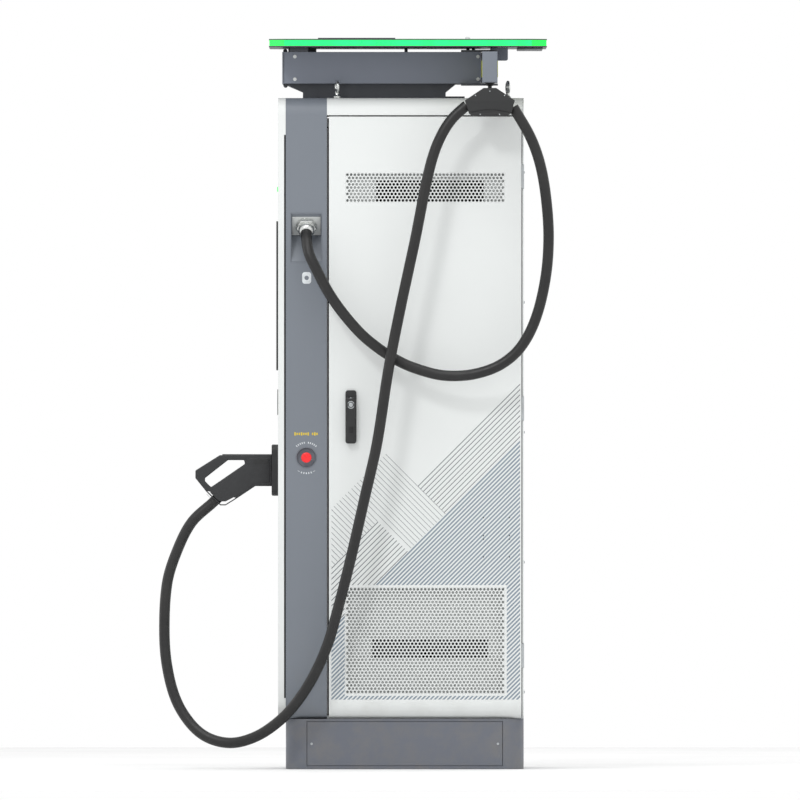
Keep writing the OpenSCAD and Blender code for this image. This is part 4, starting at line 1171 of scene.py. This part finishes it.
def make_lifting_eyes():
    """Forged eye bolts: a collar and a real ring."""
    bm = bmesh.new()
    for x, y in EYES:
        add_lathe(bm, [(10.5, 0.3), (10.8, 1.5), (10.5, 5), (8, 7.5), (6.2, 10), (5.4, 15),
                       (6.2, 20)], (x, y, ROOF_Z), (0, 0, 1), 36)
        middle = Vector((x, y, ROOF_Z + EYE_RISE)) * MM
        ring = bmesh.ops.create_circle(bm, segments=16, radius=EYE_WIRE_R * MM)["verts"]
        ring_edges = list({e for v in ring for e in v.link_edges})
        turn = Matrix.Rotation(math.radians(EYE_TURN), 4, "Z")
        bmesh.ops.transform(bm, verts=ring, matrix=Matrix.Translation(middle) @ turn
                            @ Matrix.Translation((0, EYE_R * MM, 0)))
        bmesh.ops.spin(bm, geom=ring + ring_edges, cent=middle, axis=turn @ Vector((1, 0, 0)),
                       angle=2 * math.pi, steps=40, use_merge=True)
    bmesh.ops.remove_doubles(bm, verts=bm.verts, dist=0.01 * MM)
    eyes = from_bmesh("eye_bolts", bm, "nickel", "root")
    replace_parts(eyes, "lifting_eyes")


make_top()
make_lifting_eyes()


# ---- Behind the door ----

MODULE_Y = -212
MODULE_Z = 560
MODULE_H = 170
MODULES = 5
REAR_X = 357


def make_inside():
    handles = bmesh.new()
    lamps = bmesh.new()
    for k in range(MODULES):
        z = MODULE_Z + k * MODULE_H
        for x in (-137, 277):
            for level in (z + 45, z + 125):
                add_lathe(handles, [(3.5, -0.5), (3.5, 20), (2.5, 21)], (x, MODULE_Y, level),
                          (0, -1, 0), 16)
            add_lathe(handles, [(3.2, 38), (4, 40), (4, 130), (3.2, 132)], (x, MODULE_Y - 20, z),
                      (0, 0, 1), 16)
        for step in range(3):
            add_lathe(lamps, [(2.4, -0.4), (2.4, 0.8), (1.2, 1.6)],
                      (230 + 9 * step, MODULE_Y, z + 15), (0, -1, 0), 16)
    from_bmesh("module_handles", handles, "zinc", "root")
    from_bmesh("module_lamps", lamps, "led", "root")
    row = range(-140, 280, 42)
    boxes_piece("breaker_row", [((x, -196, 400), (x + 36, -141, 490)) for x in row], 2, "electrics",
                angle=40)
    boxes_piece("breaker_levers", [((x + 13, -206, 438), (x + 23, -195, 456)) for x in row], 1,
                "black_plastic", angle=40)


def make_rear():
    """Blank rating plate and cover screws on the rear."""
    screws = bmesh.new()
    for y in (-262, 262):
        for z in (230, 620, 1010, 1400, 1790):
            add_screw(screws, (REAR_X, y, z), (1, 0, 0), 4)
    from_bmesh("rear_screws", screws, "zinc", "root", angle=30)
    slab_piece("blank_rating_plate", [rectangle(120, 70, 4)], 1.2, 0.4,
               facing_rear(REAR_X + 0.2, 0, 1620), "inner_plate")


make_inside()
make_rear()


# ---- Stage ----

FLOOR_HALF = 6
LAMP_AIM = Vector((0, 0, 1.1))
# name, place and size in metres, and power in watts
LAMPS = (
    ("key", (-2.2, -4.4, 5.2), 0.8, 80),
    ("top", (0.2, -1.8, 6.2), 3.0, 60),
    ("fill", (3.8, -4.0, 2.2), 3.5, 10),
    ("front", (-5.0, 0.5, 2.6), 3.0, 20),
    ("back", (2.5, 4.5, 3.6), 3.5, 30),
)


def make_stage():
    """A plain pale floor, soft studio lights and a white surround."""
    bm = bmesh.new()
    bmesh.ops.create_grid(bm, x_segments=1, y_segments=1, size=FLOOR_HALF)
    floor = linked("floor", to_mesh("floor", bm))
    pale = Nodes("floor_pale")
    patches = pale.ramp(pale.noise(1.5, 3), 0.3, 0.7)
    pale.colour(pale.mix(patches, (0.80, 0.80, 0.80), (0.84, 0.84, 0.84)))
    pale.set(Roughness=0.7)
    floor.data.materials.append(pale.material)
    floor.location.z = -0.001
    world = bpy.data.worlds.new("studio")
    bpy.context.scene.world = world
    world.use_nodes = True
    surround = world.node_tree.nodes["Background"]
    surround.inputs["Color"].default_value = (1, 1, 1, 1)
    surround.inputs["Strength"].default_value = 1.0
    bpy.context.scene.view_settings.view_transform = "Standard"
    for name, place, size, power in LAMPS:
        lamp = bpy.data.lights.new(name, "AREA")
        lamp.energy = power
        lamp.size = size
        light = linked(name, lamp)
        light.location = place
        aim = LAMP_AIM - Vector(place)
        light.rotation_euler = aim.to_track_quat("-Z", "Y").to_euler()


make_stage()
